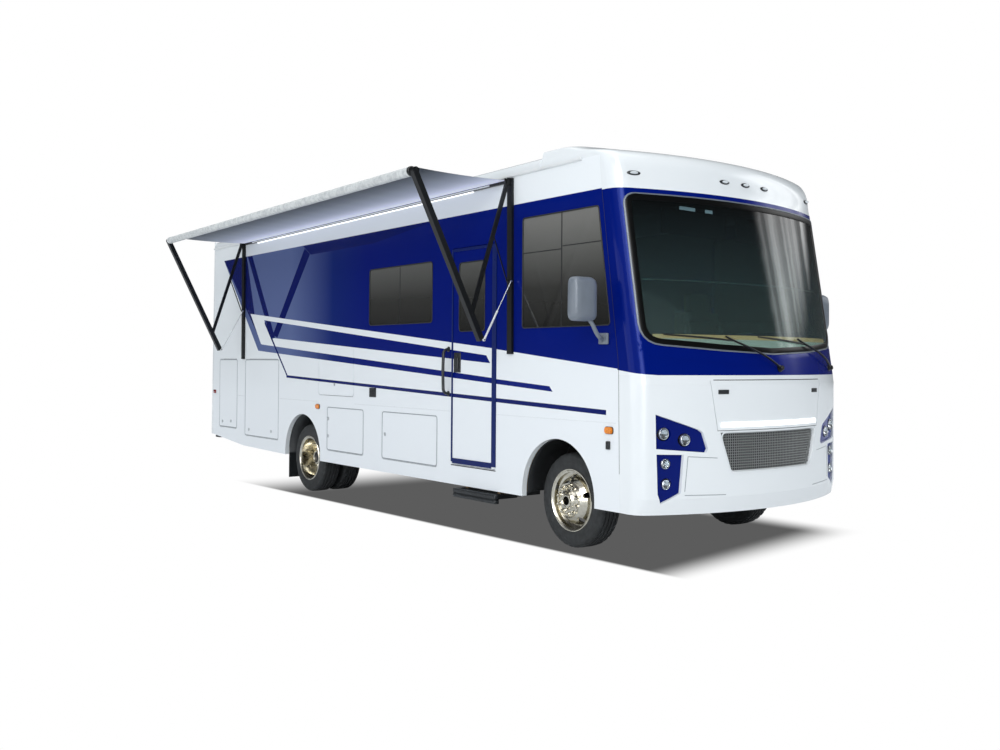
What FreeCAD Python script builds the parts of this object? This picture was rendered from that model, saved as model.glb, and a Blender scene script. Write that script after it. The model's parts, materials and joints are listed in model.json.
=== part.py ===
import FreeCAD, Part
import Sketcher
import math
import os
import re

# Motorhome on a truck chassis, built on a parametric document.
# x runs across the body (curb side negative), y runs rearwards from the front axle and z runs up
# from the ground. Each sub-part is then moved by origin_side and origin_along, so that the middle
# of the whole object's box stands over the document's origin.

# Driving dimensions in millimetres and degrees: name, value, what it measures.
SIZES = [
    ("body_width", 2500, "outside width over the side walls"),
    ("wall_thickness", 50, "side wall and door leaf thickness"),
    ("skirt_height", 400, "lower edge of the side walls above the ground"),
    ("skirt_rear_height", 525, "lower edge of the side walls at the rear corner"),
    ("skirt_kink_along", 6700, "where the skirt starts to rise"),
    ("wall_rear", 7800, "rear edge of the side walls"),
    ("rear_cap_depth", 93, "thickness of the rear wall at its foot"),
    ("rear_cap_lean", 40, "how far the rear wall leans forward at its top"),
    ("rear_bumper_height", 50, "height of the rear bumper"),
    ("gutter_front_height", 3242, "wall top at the seam of the front cap"),
    ("gutter_rear_height", 3158, "wall top at the rear corner"),
    ("roof_rise", 100, "roof thickness above the wall tops"),
    ("roof_edge_radius", 55, "rounding along the roof edges"),
    ("rear_corner_radius", 42, "rounding along the rear wall's corners"),
    ("seam_low_along", -773, "front edge of the side wall at the skirt"),
    ("seam_belt_along", -748, "front edge of the side wall at the belt line"),
    ("seam_brow_along", -548, "front edge of the side wall at the windscreen top"),
    ("seam_top_along", -509, "front edge of the side wall at the gutter"),
    ("cap_rear", 260, "rear edge of the front cap on the roof"),
    ("panel_gap", 5, "running gap round doors and lids"),
    ("pane_gap", 0.3, "gap round fixed glass and seated pieces"),
    ("pane_thickness", 6, "side glass thickness"),
    ("pane_recess", 3, "how far side glass sits behind the wall face"),
    ("corner_radius", 40, "corner radius of windows and hatches"),
    ("nose_thickness", 40, "wall thickness of the moulded front"),
    ("bumper_foot_height", 380, "lower edge of the front bumper"),
    ("bumper_fold_height", 520, "height at which the bumper is fullest"),
    ("hood_fold_height", 1400, "height at which the nose starts to lean back"),
    ("belt_height", 1475, "joint between the white nose and the windscreen surround"),
    ("brow_height", 2955, "joint between the windscreen surround and the roof cap"),
    ("cap_rise", 425, "height of the roof cap above the windscreen surround"),
    ("nose_foot_reach", 1285, "how far the nose stands before the front axle at the foot"),
    ("nose_reach", 1315, "how far the nose stands before the front axle at its fullest"),
    ("nose_belt_reach", 1305, "how far the nose stands before the front axle at the belt"),
    ("nose_brow_reach", 990, "how far the nose stands before the front axle at the brow"),
    ("nose_bow_radius", 2500, "bow of the nose in plan"),
    ("brow_bow_radius", 3000, "bow of the roof cap in plan"),
    ("nose_corner_radius", 160, "corner radius of the nose in plan"),
    ("wheelbase", 4826, "front to rear axle"),
    ("tyre_radius", 402, "standing tyre radius"),
    ("tyre_width", 226, "tyre section width"),
    ("bead_radius", 246, "rim seat radius"),
    ("flange_radius", 262, "rim flange radius"),
    ("rim_width", 212, "rim width over the flanges"),
    ("front_wheel_centre", 987, "middle of a front tyre from the centreline"),
    ("rear_pair_centre", 942, "middle of a rear twin from the centreline"),
    ("twin_spacing", 270, "distance between twin tyres"),
    ("arch_front_centre", 5, "middle of the front wheel opening"),
    ("arch_rear_centre", 4890, "middle of the rear wheel opening"),
    ("arch_width", 960, "length of a wheel opening"),
    ("arch_height", 928, "top of a wheel opening above the ground"),
    ("kingpin_centre", 830, "steering axis from the centreline"),
    ("kingpin_radius", 16, "kingpin radius"),
    ("knuckle_boss_radius", 34, "radius of the axle eye and the knuckle ears"),
    ("spindle_radius", 38, "front wheel spindle radius"),
    ("hub_clearance", 0.4, "radial running clearance of hubs and pins"),
    ("axle_tube_radius", 60, "rear axle tube radius"),
    ("diff_radius", 185, "rear differential housing radius"),
    ("rail_centre", 430, "chassis rail from the centreline"),
    ("rail_width", 75, "chassis rail width"),
    ("rail_foot_height", 600, "chassis rail lower edge"),
    ("rail_height", 230, "chassis rail depth"),
    ("rail_front", -940, "chassis rail front end"),
    ("rail_rear", 7700, "chassis rail rear end"),
    ("cross_depth", 80, "chassis cross-member width along the rails"),
    ("floor_foot_height", 960, "underside of the floor"),
    ("floor_thickness", 60, "floor thickness"),
    ("floor_front", -880, "front edge of the floor"),
    ("spring_length", 1300, "leaf spring length"),
    ("spring_width", 70, "leaf spring width"),
    ("spring_foot_height", 420, "underside of the leaf springs"),
    ("spring_thickness", 55, "leaf pack thickness"),
    ("bay_depth", 680, "storage bay depth from the inside of the wall"),
    ("bay_wall", 20, "storage bay wall thickness"),
    ("bay_floor_height", 440, "underside of the front storage bays"),
    ("rear_bay_floor_height", 545, "underside of the rear storage bays"),
    ("door_front", 880, "entry door hinge edge"),
    ("door_width", 740, "entry door leaf width"),
    ("door_foot_height", 595, "entry door lower edge"),
    ("door_top_height", 2650, "entry door upper edge"),
    ("door_pane_front", 1070, "entry door glass front edge"),
    ("door_pane_width", 424, "entry door glass width"),
    ("door_pane_foot", 1858, "entry door glass lower edge"),
    ("door_pane_height", 652, "entry door glass height"),
    ("hatch_low_top", 1043, "upper edge of the low hatches"),
    ("hatch_low_foot", 540, "lower edge of the low hatches"),
    ("hatch_a_front", 1868, "front low hatch, front edge"),
    ("hatch_a_width", 1090, "front low hatch width"),
    ("hatch_b_front", 3365, "middle low hatch, front edge"),
    ("hatch_b_width", 875, "middle low hatch width"),
    ("locker_front", 3600, "side locker hatch, front edge"),
    ("locker_width", 860, "side locker hatch width"),
    ("locker_foot", 1176, "side locker hatch lower edge"),
    ("locker_height", 533, "side locker hatch height"),
    ("locker_depth", 360, "side locker depth"),
    ("hatch_tall_top", 1587, "upper edge of the tall rear hatches"),
    ("hatch_c_front", 5580, "wide rear hatch, front edge"),
    ("hatch_c_width", 1075, "wide rear hatch width"),
    ("hatch_c_foot", 571, "wide rear hatch lower edge"),
    ("hatch_d_front", 6930, "narrow rear hatch, front edge"),
    ("hatch_d_width", 642, "narrow rear hatch width"),
    ("hatch_d_foot", 646, "narrow rear hatch lower edge"),
    ("house_pane_front", 1975, "house window front edge"),
    ("house_pane_width", 1275, "house window width"),
    ("house_pane_foot", 1957, "house window lower edge"),
    ("house_pane_height", 603, "house window height"),
    ("cab_pane_rear", 496, "cab window rear edge"),
    ("cab_pane_foot", 1868, "cab window lower edge"),
    ("cab_pane_top", 2832, "cab window upper edge"),
    ("cab_pane_front_low", -655, "cab window front lower corner"),
    ("cab_pane_front_high", -510, "cab window front upper corner"),
    ("screen_foot_height", 1650, "windscreen lower edge"),
    ("screen_top_height", 2908, "windscreen upper edge"),
    ("screen_half_width", 1178, "windscreen half width"),
    ("screen_thickness", 10, "windscreen thickness"),
    ("screen_corner_radius", 90, "windscreen corner radius"),
    ("grille_top_in", 645, "grille opening's upper corner from the body side"),
    ("grille_foot_in", 750, "grille opening's lower corner from the body side"),
    ("grille_top_height", 1024, "grille opening upper edge"),
    ("grille_foot_height", 711, "grille opening lower edge"),
    ("grille_recess", 24, "how far the grille sits behind the nose"),
    ("grille_thickness", 10, "grille plate thickness"),
    ("grille_mesh", 42, "grille mesh pitch"),
    ("grille_bar", 10, "grille bar width"),
    ("hood_top_in", 555, "hood lid's upper corner from the body side"),
    ("hood_foot_in", 622, "hood lid's lower corner from the body side"),
    ("hood_top_height", 1434, "hood lid upper edge"),
    ("hood_foot_height", 1042, "hood lid lower edge"),
    ("hood_thickness", 26, "hood lid thickness"),
    ("lamp_recess", 22, "how far the headlamp bezels sit behind the nose"),
    ("lamp_radius", 52, "main headlamp radius"),
    ("small_lamp_radius", 40, "lower lamp radius"),
    ("seat_in", 550, "cab seat middle from the body side"),
    ("mirror_head_out", 250, "mirror head middle from the wall"),
    ("mirror_head_along", -620, "mirror head middle along the body"),
    ("mirror_head_height", 2065, "mirror head middle above the ground"),
    ("mirror_head_width", 265, "mirror head width"),
    ("mirror_head_tall", 345, "mirror head height"),
    ("mirror_head_deep", 110, "mirror head depth"),
    ("mirror_foot_height", 1760, "mirror arm foot above the ground"),
    ("awning_front", 670, "front awning arm plane"),
    ("awning_span", 6050, "distance between the awning arm planes"),
    ("awning_drop", 50, "how much lower the rear awning arm stands"),
    ("awning_pivot_out", 47, "upper arm pivot from the wall"),
    ("awning_pivot_height", 3178, "upper arm pivot above the ground"),
    ("knee_out", 430, "awning knee pivot from the wall"),
    ("knee_height", 1976, "awning knee pivot above the ground"),
    ("roller_out", 1000, "awning roller axis from the wall"),
    ("roller_height", 3155, "awning roller axis above the ground"),
    ("roller_radius", 42, "awning roller radius with its fabric"),
    ("arm_tail", 240, "length of the outer arm past the knee"),
    ("inner_arm_width", 34, "inner awning arm width"),
    ("inner_arm_thickness", 24, "inner awning arm thickness along the body"),
    ("outer_arm_depth", 50, "outer awning arm depth"),
    ("outer_arm_width", 58, "outer awning arm width along the body"),
    ("outer_arm_wall", 4, "outer awning arm wall"),
    ("pin_radius", 6, "awning pin radius"),
    ("link_distance", 486, "support link pivot from the upper arm pivot"),
    ("link_foot_out", 36, "support link foot from the wall"),
    ("link_foot_rise", 310, "support link foot above the awning knee"),
    ("awning_rail_depth", 25, "awning upright depth"),
    ("awning_rail_width", 70, "awning upright width"),
    ("awning_rail_foot", 1640, "awning upright lower end"),
    ("awning_rail_top", 3205, "awning upright upper end"),
    ("strut_offset", 45, "gas strut plane before the arm plane"),
    ("strut_radius", 9, "gas strut cylinder radius"),
    ("strut_rod_radius", 5, "gas strut rod radius"),
    ("strut_body_length", 285, "gas strut cylinder length"),
    ("fabric_thickness", 4, "awning fabric solid thickness"),
    ("step_out", 50, "entry step outer edge from the wall"),
    ("step_tread_depth", 250, "entry step tread depth"),
    ("step_tread_height", 372, "entry step tread top"),
    ("step_tread_thickness", 38, "entry step tread thickness"),
    ("step_nosing_height", 78, "entry step nosing height"),
    ("step_nosing_depth", 42, "entry step nosing depth"),
    ("step_front", 820, "entry step front edge"),
    ("step_width", 675, "entry step width"),
    ("receiver_outside", 63.5, "tow receiver outside width"),
    ("receiver_inside", 51, "tow receiver opening"),
    ("receiver_height", 330, "tow receiver middle above the ground"),
    ("receiver_rear", 7915, "tow receiver mouth"),
    ("receiver_pin_radius", 8.2, "tow receiver pin hole radius"),
    ("plate_bolt_across", 178, "rear plate bolt spacing across"),
    ("plate_bolt_up", 121, "rear plate bolt spacing up"),
    ("plate_bolt_radius", 3.5, "rear plate bolt hole radius"),
    ("plate_height", 1320, "rear plate middle above the ground"),
]

VALUES = {alias: value for alias, value, words in SIZES}
# The box's middle: the awning roller reaches furthest on the curb side and the mirror on the other.
awning_out = VALUES["roller_out"] + VALUES["roller_radius"]
mirror_out = VALUES["mirror_head_out"] + VALUES["mirror_head_width"] / 2
VALUES["origin_side"] = (awning_out - mirror_out) / 2
VALUES["origin_along"] = (VALUES["nose_reach"] - VALUES["receiver_rear"]) / 2
SIZES.append(("origin_side", VALUES["origin_side"], "centreline from the middle of the box"))
SIZES.append(("origin_along", VALUES["origin_along"], "front axle from the middle of the box"))

doc = FreeCAD.newDocument("Motorhome")
sheet = doc.addObject("Spreadsheet::Sheet", "Sizes")
for row, (alias, value, words) in enumerate(SIZES, start=1):
    sheet.set("A%d" % row, words)
    sheet.set("B%d" % row, str(value))
    sheet.setAlias("B%d" % row, alias)
doc.recompute()

ALONG_X = FreeCAD.Rotation(FreeCAD.Vector(0, 1, 0), 90)
ALONG_Y = FreeCAD.Rotation(FreeCAD.Vector(1, 0, 0), -90)
ALONG_Z = FreeCAD.Rotation()
TURNS = {"x": ALONG_X, "y": ALONG_Y, "z": ALONG_Z}
# Sketch frames: the drawing plane's normal is the extrusion direction.
SIDE_FRAME = FreeCAD.Rotation(FreeCAD.Vector(1, 1, 1), 120)
FRONT_FRAME = FreeCAD.Rotation(FreeCAD.Vector(1, 0, 0), 90)

nodes = []
CURB, STREET = -1, 1
SIDES = (("curb", CURB), ("street", STREET))


def size(alias):
    """A value read back from the sheet."""
    return float(sheet.get(alias))


half_width = size("body_width") / 2


def bound(text):
    """An expression with each alias turned into a reference to the sheet."""
    return re.sub(r"[a-z_]{3,}", lambda m: "Sizes." + m.group() if m.group() in VALUES else m.group(),
                  str(text))


def bind(thing, **texts):
    """Binds properties to expressions; a double underscore stands for a dot."""
    for prop, text in texts.items():
        thing.setExpression(prop.replace("__", "."), bound(text))
    return thing


def at(thing, x, y, z):
    return bind(thing, Placement__Base__x=x, Placement__Base__y=y, Placement__Base__z=z)


def box(name, x, y, z):
    """A block between two expressions on each axis."""
    block = doc.addObject("Part::Box", name)
    spans = ["(%s) - (%s)" % (pair[1], pair[0]) for pair in (x, y, z)]
    bind(block, Length=spans[0], Width=spans[1], Height=spans[2])
    return at(block, x[0], y[0], z[0])


def rod(name, axis, radius, span, place):
    """A cylinder along an axis; span gives its ends and place the other two coordinates."""
    bar = doc.addObject("Part::Cylinder", name)
    bar.Placement = FreeCAD.Placement(FreeCAD.Vector(), TURNS[axis])
    bind(bar, Radius=radius, Height="(%s) - (%s)" % (span[1], span[0]))
    where = {"x": (span[0], place[0], place[1]), "y": (place[0], span[0], place[1]),
             "z": (place[0], place[1], span[0])}[axis]
    return at(bar, *where)


def cut(name, base, *tools):
    """Base less the tools."""
    result = doc.addObject("Part::Cut", name)
    result.Base = base
    result.Tool = tools[0] if len(tools) == 1 else fuse(name + "_tools", *tools)
    return result


def fuse(name, *pieces):
    result = doc.addObject("Part::MultiFuse", name)
    result.Shapes = list(pieces)
    return result


def common(name, *pieces):
    result = doc.addObject("Part::MultiCommon", name)
    result.Shapes = list(pieces)
    return result


def together(name, *pieces):
    """Solids of one node that don't touch."""
    result = doc.addObject("Part::Compound", name)
    result.Links = list(pieces)
    return result


def draw(sketch, outline):
    """A closed polygon whose corners are bound to expressions."""
    count = len(outline)
    turn = 2 * math.pi / count
    corners = [FreeCAD.Vector(500 * math.cos(i * turn), 500 * math.sin(i * turn), 0)
               for i in range(count)]
    for i in range(count):
        sketch.addGeometry(Part.LineSegment(corners[i], corners[(i + 1) % count]))
    for i in range(count):
        sketch.addConstraint(Sketcher.Constraint("Coincident", i, 2, (i + 1) % count, 1))
    for i, (across, up) in enumerate(outline):
        for kind, text, value in (("DistanceX", across, corners[i].x), ("DistanceY", up, corners[i].y)):
            row = sketch.addConstraint(Sketcher.Constraint(kind, -1, 1, i, 1, value))
            sketch.setExpression("Constraints[%d]" % row, bound(text))


def prism(name, frame, outline, start, length):
    """A polygon drawn in a side or front frame and extruded along the frame's normal."""
    sketch = doc.addObject("Sketcher::SketchObject", name + "_outline")
    draw(sketch, outline)
    normal = frame.multVec(FreeCAD.Vector(0, 0, 1))
    sketch.Placement = FreeCAD.Placement(FreeCAD.Vector(), frame)
    if abs(normal.x) > 0.5:
        bind(sketch, Placement__Base__x=start)
    else:
        bind(sketch, Placement__Base__y=start)
    solid = doc.addObject("Part::Extrusion", name)
    solid.Base = sketch
    solid.DirMode = "Custom"
    solid.Dir = normal
    bind(solid, LengthFwd=length)
    solid.Solid = True
    return solid


def side_prism(name, outline, low, high):
    """A side view outline of (y, z) corners between two x."""
    return prism(name, SIDE_FRAME, outline, low, "(%s) - (%s)" % (high, low))


def front_prism(name, outline, front, rear):
    """A front view outline of (x, z) corners from the rear y forward to the front y."""
    return prism(name, FRONT_FRAME, outline, rear, "(%s) - (%s)" % (rear, front))


def edges_along(shape, axis, keep=lambda edge: True):
    """Numbers of the straight edges that run along an axis."""
    found = []
    for number, edge in enumerate(shape.Edges, start=1):
        if edge.Curve.TypeId == "Part::GeomLine" and keep(edge):
            if abs(edge.tangentAt(edge.FirstParameter).dot(axis)) > 0.999:
                found.append(number)
    return found


def rounded(name, base, axis, radius, keep=lambda edge: True):
    """Base with its edges along an axis rounded."""
    doc.recompute()
    result = doc.addObject("Part::Fillet", name)
    result.Base = base
    result.Edges = [(number, radius, radius) for number in edges_along(base.Shape, axis, keep)]
    return result


def tablet(name, x, y, z, radius):
    """A block with its four edges along x rounded."""
    return rounded(name, box(name + "_block", x, y, z), FreeCAD.Vector(1, 0, 0), radius)


def whole(label, thing):
    """Makes a finished sub-part: its label names its file, and it moves to the row's origin."""
    thing.Label = label
    bind(thing, Placement__Base__x="origin_side", Placement__Base__y="origin_along")
    nodes.append(thing)
    return thing


def plain(name, shape):
    """A form made from the sheet's values where primitives and sketches don't fit."""
    feature = doc.addObject("Part::Feature", name)
    feature.Shape = shape
    return feature


def bar(start, end, ahead, behind, low, high):
    """A flat bar in an awning arm plane, from start to end, both (x, z).

    ahead and behind are its edges either side of the line, to the right of the direction of
    travel first, and low and high its faces along y."""
    direction = FreeCAD.Vector(end[0] - start[0], 0, end[1] - start[1])
    direction.normalize()
    right = FreeCAD.Vector(direction.z, 0, -direction.x)
    first, last = FreeCAD.Vector(start[0], low, start[1]), FreeCAD.Vector(end[0], low, end[1])
    corners = [first + right * ahead, last + right * ahead, last - right * behind, first - right * behind]
    face = Part.Face(Part.makePolygon(corners + corners[:1]))
    return face.extrude(FreeCAD.Vector(0, high - low, 0))


def pin(centre, radius, low, high):
    """A cylinder along y at (x, z)."""
    return Part.makeCylinder(radius, high - low, FreeCAD.Vector(centre[0], low, centre[1]),
                             FreeCAD.Vector(0, 1, 0))


def outer_side(side, depth="0"):
    """The x of a side face, or a depth inside it."""
    return "%d * (body_width / 2 - (%s))" % (side, depth)


def across(side, outside, inside):
    """The span in x between two depths inside a side face, low end first."""
    near, far = outer_side(side, outside), outer_side(side, inside)
    return (near, far) if side == CURB else (far, near)


# Side walls

SEAM = [("seam_low_along", "skirt_height"), ("seam_belt_along", "belt_height"),
        ("seam_brow_along", "brow_height"), ("seam_top_along", "gutter_front_height")]
WALL = SEAM + [("wall_rear", "gutter_rear_height"), ("wall_rear", "skirt_rear_height"),
               ("skirt_kink_along", "skirt_height + 30"), ("arch_rear_centre", "skirt_height")]

# Openings in the wall: name, front edge, width, lower edge, upper edge, hinged edge.
DOORWAY = ("doorway", "door_front", "door_width", "door_foot_height", "door_top_height", "front")
HATCH_A = ("hatch_a", "hatch_a_front", "hatch_a_width", "hatch_low_foot", "hatch_low_top", "top")
HATCH_B = ("hatch_b", "hatch_b_front", "hatch_b_width", "hatch_low_foot", "hatch_low_top", "top")
LOCKER = ("locker", "locker_front", "locker_width", "locker_foot", "locker_foot + locker_height", "top")
HATCH_C = ("hatch_c", "hatch_c_front", "hatch_c_width", "hatch_c_foot", "hatch_tall_top", "front")
HATCH_D = ("hatch_d", "hatch_d_front", "hatch_d_width", "hatch_d_foot", "hatch_tall_top", "rear")
HOUSE_PANE = ("house_pane", "house_pane_front", "house_pane_width", "house_pane_foot",
              "house_pane_foot + house_pane_height", "none")
DOOR_PANE = ("door_pane", "door_pane_front", "door_pane_width", "door_pane_foot",
             "door_pane_foot + door_pane_height", "none")
CURB_HATCHES = (HATCH_A, HATCH_B, LOCKER, HATCH_C, HATCH_D)
STREET_HATCHES = (HATCH_A, HATCH_C)
CAB_PANE = [("cab_pane_rear", "cab_pane_foot"), ("cab_pane_rear", "cab_pane_top"),
            ("cab_pane_front_high", "cab_pane_top"), ("cab_pane_front_low", "cab_pane_foot")]


def grown(opening, gap):
    """The (y, z) spans of an opening, grown by a gap on every edge but the hinged one, which seats."""
    name, front, width, foot, top, hinged = opening
    edge = {side: "pane_gap" if side == hinged else gap for side in ("front", "rear", "top")}
    return (("%s - (%s)" % (front, edge["front"]), "%s + %s + (%s)" % (front, width, edge["rear"])),
            ("%s - (%s)" % (foot, gap), "%s + (%s)" % (top, edge["top"])))


def leaf_span(opening):
    """The (y, z) spans of the leaf or pane that fills an opening."""
    name, front, width, foot, top, hinged = opening
    return (front, "%s + %s" % (front, width)), (foot, top)


def opening_tool(side, opening, gap):
    y, z = grown(opening, gap)
    name = "%s_%s_tool" % (dict((v, k) for k, v in SIDES)[side], opening[0])
    corner = size("corner_radius") + size("pane_gap")
    return tablet(name, across(side, "-10", "wall_thickness + 10"), y, z, corner)


def arch_tool(name, side, centre):
    """A wheel opening with a round top, cut from below the skirt."""
    y = ("%s - arch_width / 2" % centre, "%s + arch_width / 2" % centre)
    z = ("skirt_height - 700", "arch_height")
    return tablet(name, across(side, "-10", "wall_thickness + 10"), y, z, size("arch_width") / 2 - 1)


def cab_pane_prism(name, side, outside, inside, radius):
    low, high = across(side, outside, inside)
    return rounded(name, side_prism(name + "_plain", CAB_PANE, low, high), FreeCAD.Vector(1, 0, 0), radius)


def side_wall(label, side, openings, hatches):
    low, high = across(side, "0", "wall_thickness")
    slab = side_prism(label + "_slab", WALL, low, high)
    tools = [arch_tool(label + "_front_arch", side, "arch_front_centre"),
             arch_tool(label + "_rear_arch", side, "arch_rear_centre"),
             cab_pane_prism(label + "_cab_opening", side, "-10", "wall_thickness + 10",
                            size("corner_radius"))]
    tools += [opening_tool(side, opening, "pane_gap") for opening in openings]
    tools += [opening_tool(side, opening, "panel_gap") for opening in hatches]
    return whole(label, cut(label + "_wall", slab, *tools))


side_wall("curb_wall", CURB, (HOUSE_PANE,), (DOORWAY,) + CURB_HATCHES)
side_wall("street_wall", STREET, (HOUSE_PANE,), STREET_HATCHES)

# Fixed side glass

panes = []
for word, side in SIDES:
    y, z = leaf_span(HOUSE_PANE)
    panes.append(tablet(word + "_house_glass", across(side, "pane_recess", "pane_recess + pane_thickness"),
                        y, z, size("corner_radius")))
    shrunk = [("cab_pane_rear - pane_gap", "cab_pane_foot + pane_gap"),
              ("cab_pane_rear - pane_gap", "cab_pane_top - pane_gap"),
              ("cab_pane_front_high + pane_gap * 1.2", "cab_pane_top - pane_gap"),
              ("cab_pane_front_low + pane_gap * 1.2", "cab_pane_foot + pane_gap")]
    low, high = across(side, "pane_recess", "pane_recess + pane_thickness")
    panes.append(rounded(word + "_cab_glass", side_prism(word + "_cab_glass_plain", shrunk, low, high),
                         FreeCAD.Vector(1, 0, 0), size("corner_radius")))
whole("side_windows", together("side_glass", *panes))


# Doors and hatches: each leaf is a pad as thick as its wall


def leaf(label, side, opening, pane=None):
    """A door leaf drawn on the side plane, padded to the wall's thickness and rounded at its corners."""
    body = doc.addObject("PartDesign::Body", label + "_body")
    plane = [f for f in body.Origin.OriginFeatures if f.Role == "YZ_Plane"][0]
    sketch = body.newObject("Sketcher::SketchObject", label + "_outline")
    sketch.AttachmentSupport = (plane, [""])
    sketch.MapMode = "FlatFace"
    y, z = leaf_span(opening)
    draw(sketch, [(y[0], z[0]), (y[1], z[0]), (y[1], z[1]), (y[0], z[1])])
    bind(sketch, AttachmentOffset__Base__z=across(side, "0", "wall_thickness")[0])
    pad = body.newObject("PartDesign::Pad", label + "_pad")
    pad.Profile = sketch
    bind(pad, Length="wall_thickness")
    doc.recompute()
    corners = edges_along(pad.Shape, FreeCAD.Vector(1, 0, 0))
    fillet = body.newObject("PartDesign::Fillet", label + "_corners")
    fillet.Base = (pad, ["Edge%d" % number for number in corners])
    bind(fillet, Radius="corner_radius")
    doc.recompute()
    if pane:
        hole = body.newObject("Sketcher::SketchObject", label + "_hole_outline")
        hole.AttachmentSupport = (plane, [""])
        hole.MapMode = "FlatFace"
        y, z = grown(pane, "pane_gap")
        draw(hole, [(y[0], z[0]), (y[1], z[0]), (y[1], z[1]), (y[0], z[1])])
        bind(hole, AttachmentOffset__Base__z=across(side, "0", "wall_thickness")[0])
        pocket = body.newObject("PartDesign::Pocket", label + "_hole")
        pocket.Profile = hole
        pocket.Reversed = True
        bind(pocket, Length="wall_thickness")
        doc.recompute()
        body.Tip = pocket
    return whole(label, body)


leaf("entry_door", CURB, DOORWAY, DOOR_PANE)
y_span, z_span = leaf_span(DOOR_PANE)
door_glass = box("door_glass", across(CURB, "pane_recess", "pane_recess + pane_thickness"), y_span, z_span)
whole("entry_door_window", together("door_glass_set", door_glass))
for opening in CURB_HATCHES:
    leaf("curb_" + opening[0], CURB, opening)
for opening in STREET_HATCHES:
    leaf("street_" + opening[0], STREET, opening)

# Roof and rear wall



def gutter(y):
    """The top of the sloping side wall at a place along it."""
    return ("(gutter_front_height + (gutter_rear_height - gutter_front_height)"
            " * (%s - seam_top_along) / (wall_rear - seam_top_along))" % y)


roof_outline = [("cap_rear", gutter("cap_rear")), ("wall_rear", "gutter_rear_height"),
                ("wall_rear", "gutter_rear_height + roof_rise"),
                ("cap_rear", gutter("cap_rear") + " + roof_rise")]
roof_slab = side_prism("roof_slab", roof_outline, "-body_width / 2", "body_width / 2")


def roof_edge(edge):
    """Whether an edge runs along the top of the roof's slab."""
    middle = edge.valueAt((edge.FirstParameter + edge.LastParameter) / 2)
    share = (middle.y - size("seam_top_along")) / (size("wall_rear") - size("seam_top_along"))
    rise = size("gutter_rear_height") - size("gutter_front_height")
    wall_top = size("gutter_front_height") + share * rise
    return middle.z > wall_top + size("roof_rise") / 2


roof_slope = FreeCAD.Vector(0, size("wall_rear") - size("seam_top_along"),
                            size("gutter_rear_height") - size("gutter_front_height"))
roof_slope.normalize()
whole("roof_panel", rounded("roof_rounded", roof_slab, roof_slope, size("roof_edge_radius"), roof_edge))

rear_outline = [("wall_rear", "skirt_rear_height"), ("wall_rear + rear_cap_depth", "skirt_rear_height"),
                ("wall_rear + rear_cap_depth - rear_cap_lean", "gutter_rear_height + roof_rise"),
                ("wall_rear", "gutter_rear_height + roof_rise")]
rear_slab = side_prism("rear_slab", rear_outline, "-body_width / 2", "body_width / 2")
rear_lean = FreeCAD.Vector(0, -size("rear_cap_lean"),
                           size("gutter_rear_height") + size("roof_rise") - size("skirt_rear_height"))
rear_lean.normalize()


def rear_corner(edge):
    return edge.valueAt(edge.FirstParameter).y > size("wall_rear") + size("pane_thickness")


rear_rounded = rounded("rear_rounded", rear_slab, rear_lean, size("rear_corner_radius"), rear_corner)
plate_holes = [rod("plate_hole_%d_%d" % (i, j), "y", "plate_bolt_radius",
                   ("wall_rear - 10", "wall_rear + rear_cap_depth + 10"),
                   ("%d * plate_bolt_across / 2" % i, "plate_height + %d * plate_bolt_up / 2" % j))
               for i in (-1, 1) for j in (-1, 1)]
whole("rear_cap", cut("rear_wall", rear_rounded, *plate_holes))

# Moulded front: sections in plan, lofted upwards


def nose_section(height, reach, bow, half, corner, inset):
    """A closed plan outline: straight sides, rounded corners and a bowed front."""
    half, bow, corner = half - inset, bow - inset, corner - inset * 0.5
    front = -reach + inset
    centre = FreeCAD.Vector(0, front + bow, height)
    corner_y = centre.y - math.sqrt((bow - corner) ** 2 - (half - corner) ** 2)
    points = {}
    for word, side in SIDES:
        hub = FreeCAD.Vector(side * (half - corner), corner_y, height)
        out = hub - centre
        out.normalize()
        tangent = hub + out * corner
        middle = FreeCAD.Vector(side, 0, 0) + out
        middle.normalize()
        points[side] = (FreeCAD.Vector(side * half, size("cap_rear") - inset, height),
                        FreeCAD.Vector(side * half, corner_y, height), hub + middle * corner, tangent)
    left, right = points[CURB], points[STREET]
    nose = FreeCAD.Vector(0, front, height)
    edges = [Part.LineSegment(left[0], left[1]), Part.Arc(left[1], left[2], left[3]),
             Part.Arc(left[3], nose, right[3]), Part.Arc(right[3], right[2], right[1]),
             Part.LineSegment(right[1], right[0]), Part.LineSegment(right[0], left[0])]
    return Part.Wire([edge.toShape() for edge in edges])


nose_corner = size("nose_corner_radius")
NOSE_LOW = [(size("bumper_foot_height"), size("nose_foot_reach"), size("nose_bow_radius")),
            (size("bumper_fold_height"), size("nose_reach"), size("nose_bow_radius")),
            (size("hood_fold_height"), size("nose_reach"), size("nose_bow_radius")),
            (size("belt_height"), size("nose_belt_reach"), size("nose_bow_radius"))]
NOSE_MIDDLE = [NOSE_LOW[-1], (size("brow_height"), size("nose_brow_reach"), size("brow_bow_radius"))]
CAP_RISE = size("cap_rise")
# The roof cap's shoulders: share of the rise, how far the front draws back, how far the sides draw in.
CAP_SHOULDER = [(0, 0, 0), (0.34, 28, 0), (0.58, 70, 2), (0.73, 140, 8), (0.81, 240, 16), (0.92, 470, 30),
                (1, 740, 55)]


def nose_block(name, rows, inset, ruled=True):
    sections = [nose_section(height, reach, bow, half_width, nose_corner, inset)
                for height, reach, bow in rows]
    return plain(name, Part.makeLoft(sections, True, ruled))


def cap_block(name, inset, drop):
    sections = []
    for share, back, narrow in CAP_SHOULDER:
        height = size("brow_height") + share * (CAP_RISE - drop)
        sections.append(nose_section(height, size("nose_brow_reach") - back, size("brow_bow_radius"),
                                     half_width - narrow, nose_corner + narrow / 2, inset))
    return plain(name, Part.makeLoft(sections, True, False))


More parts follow.
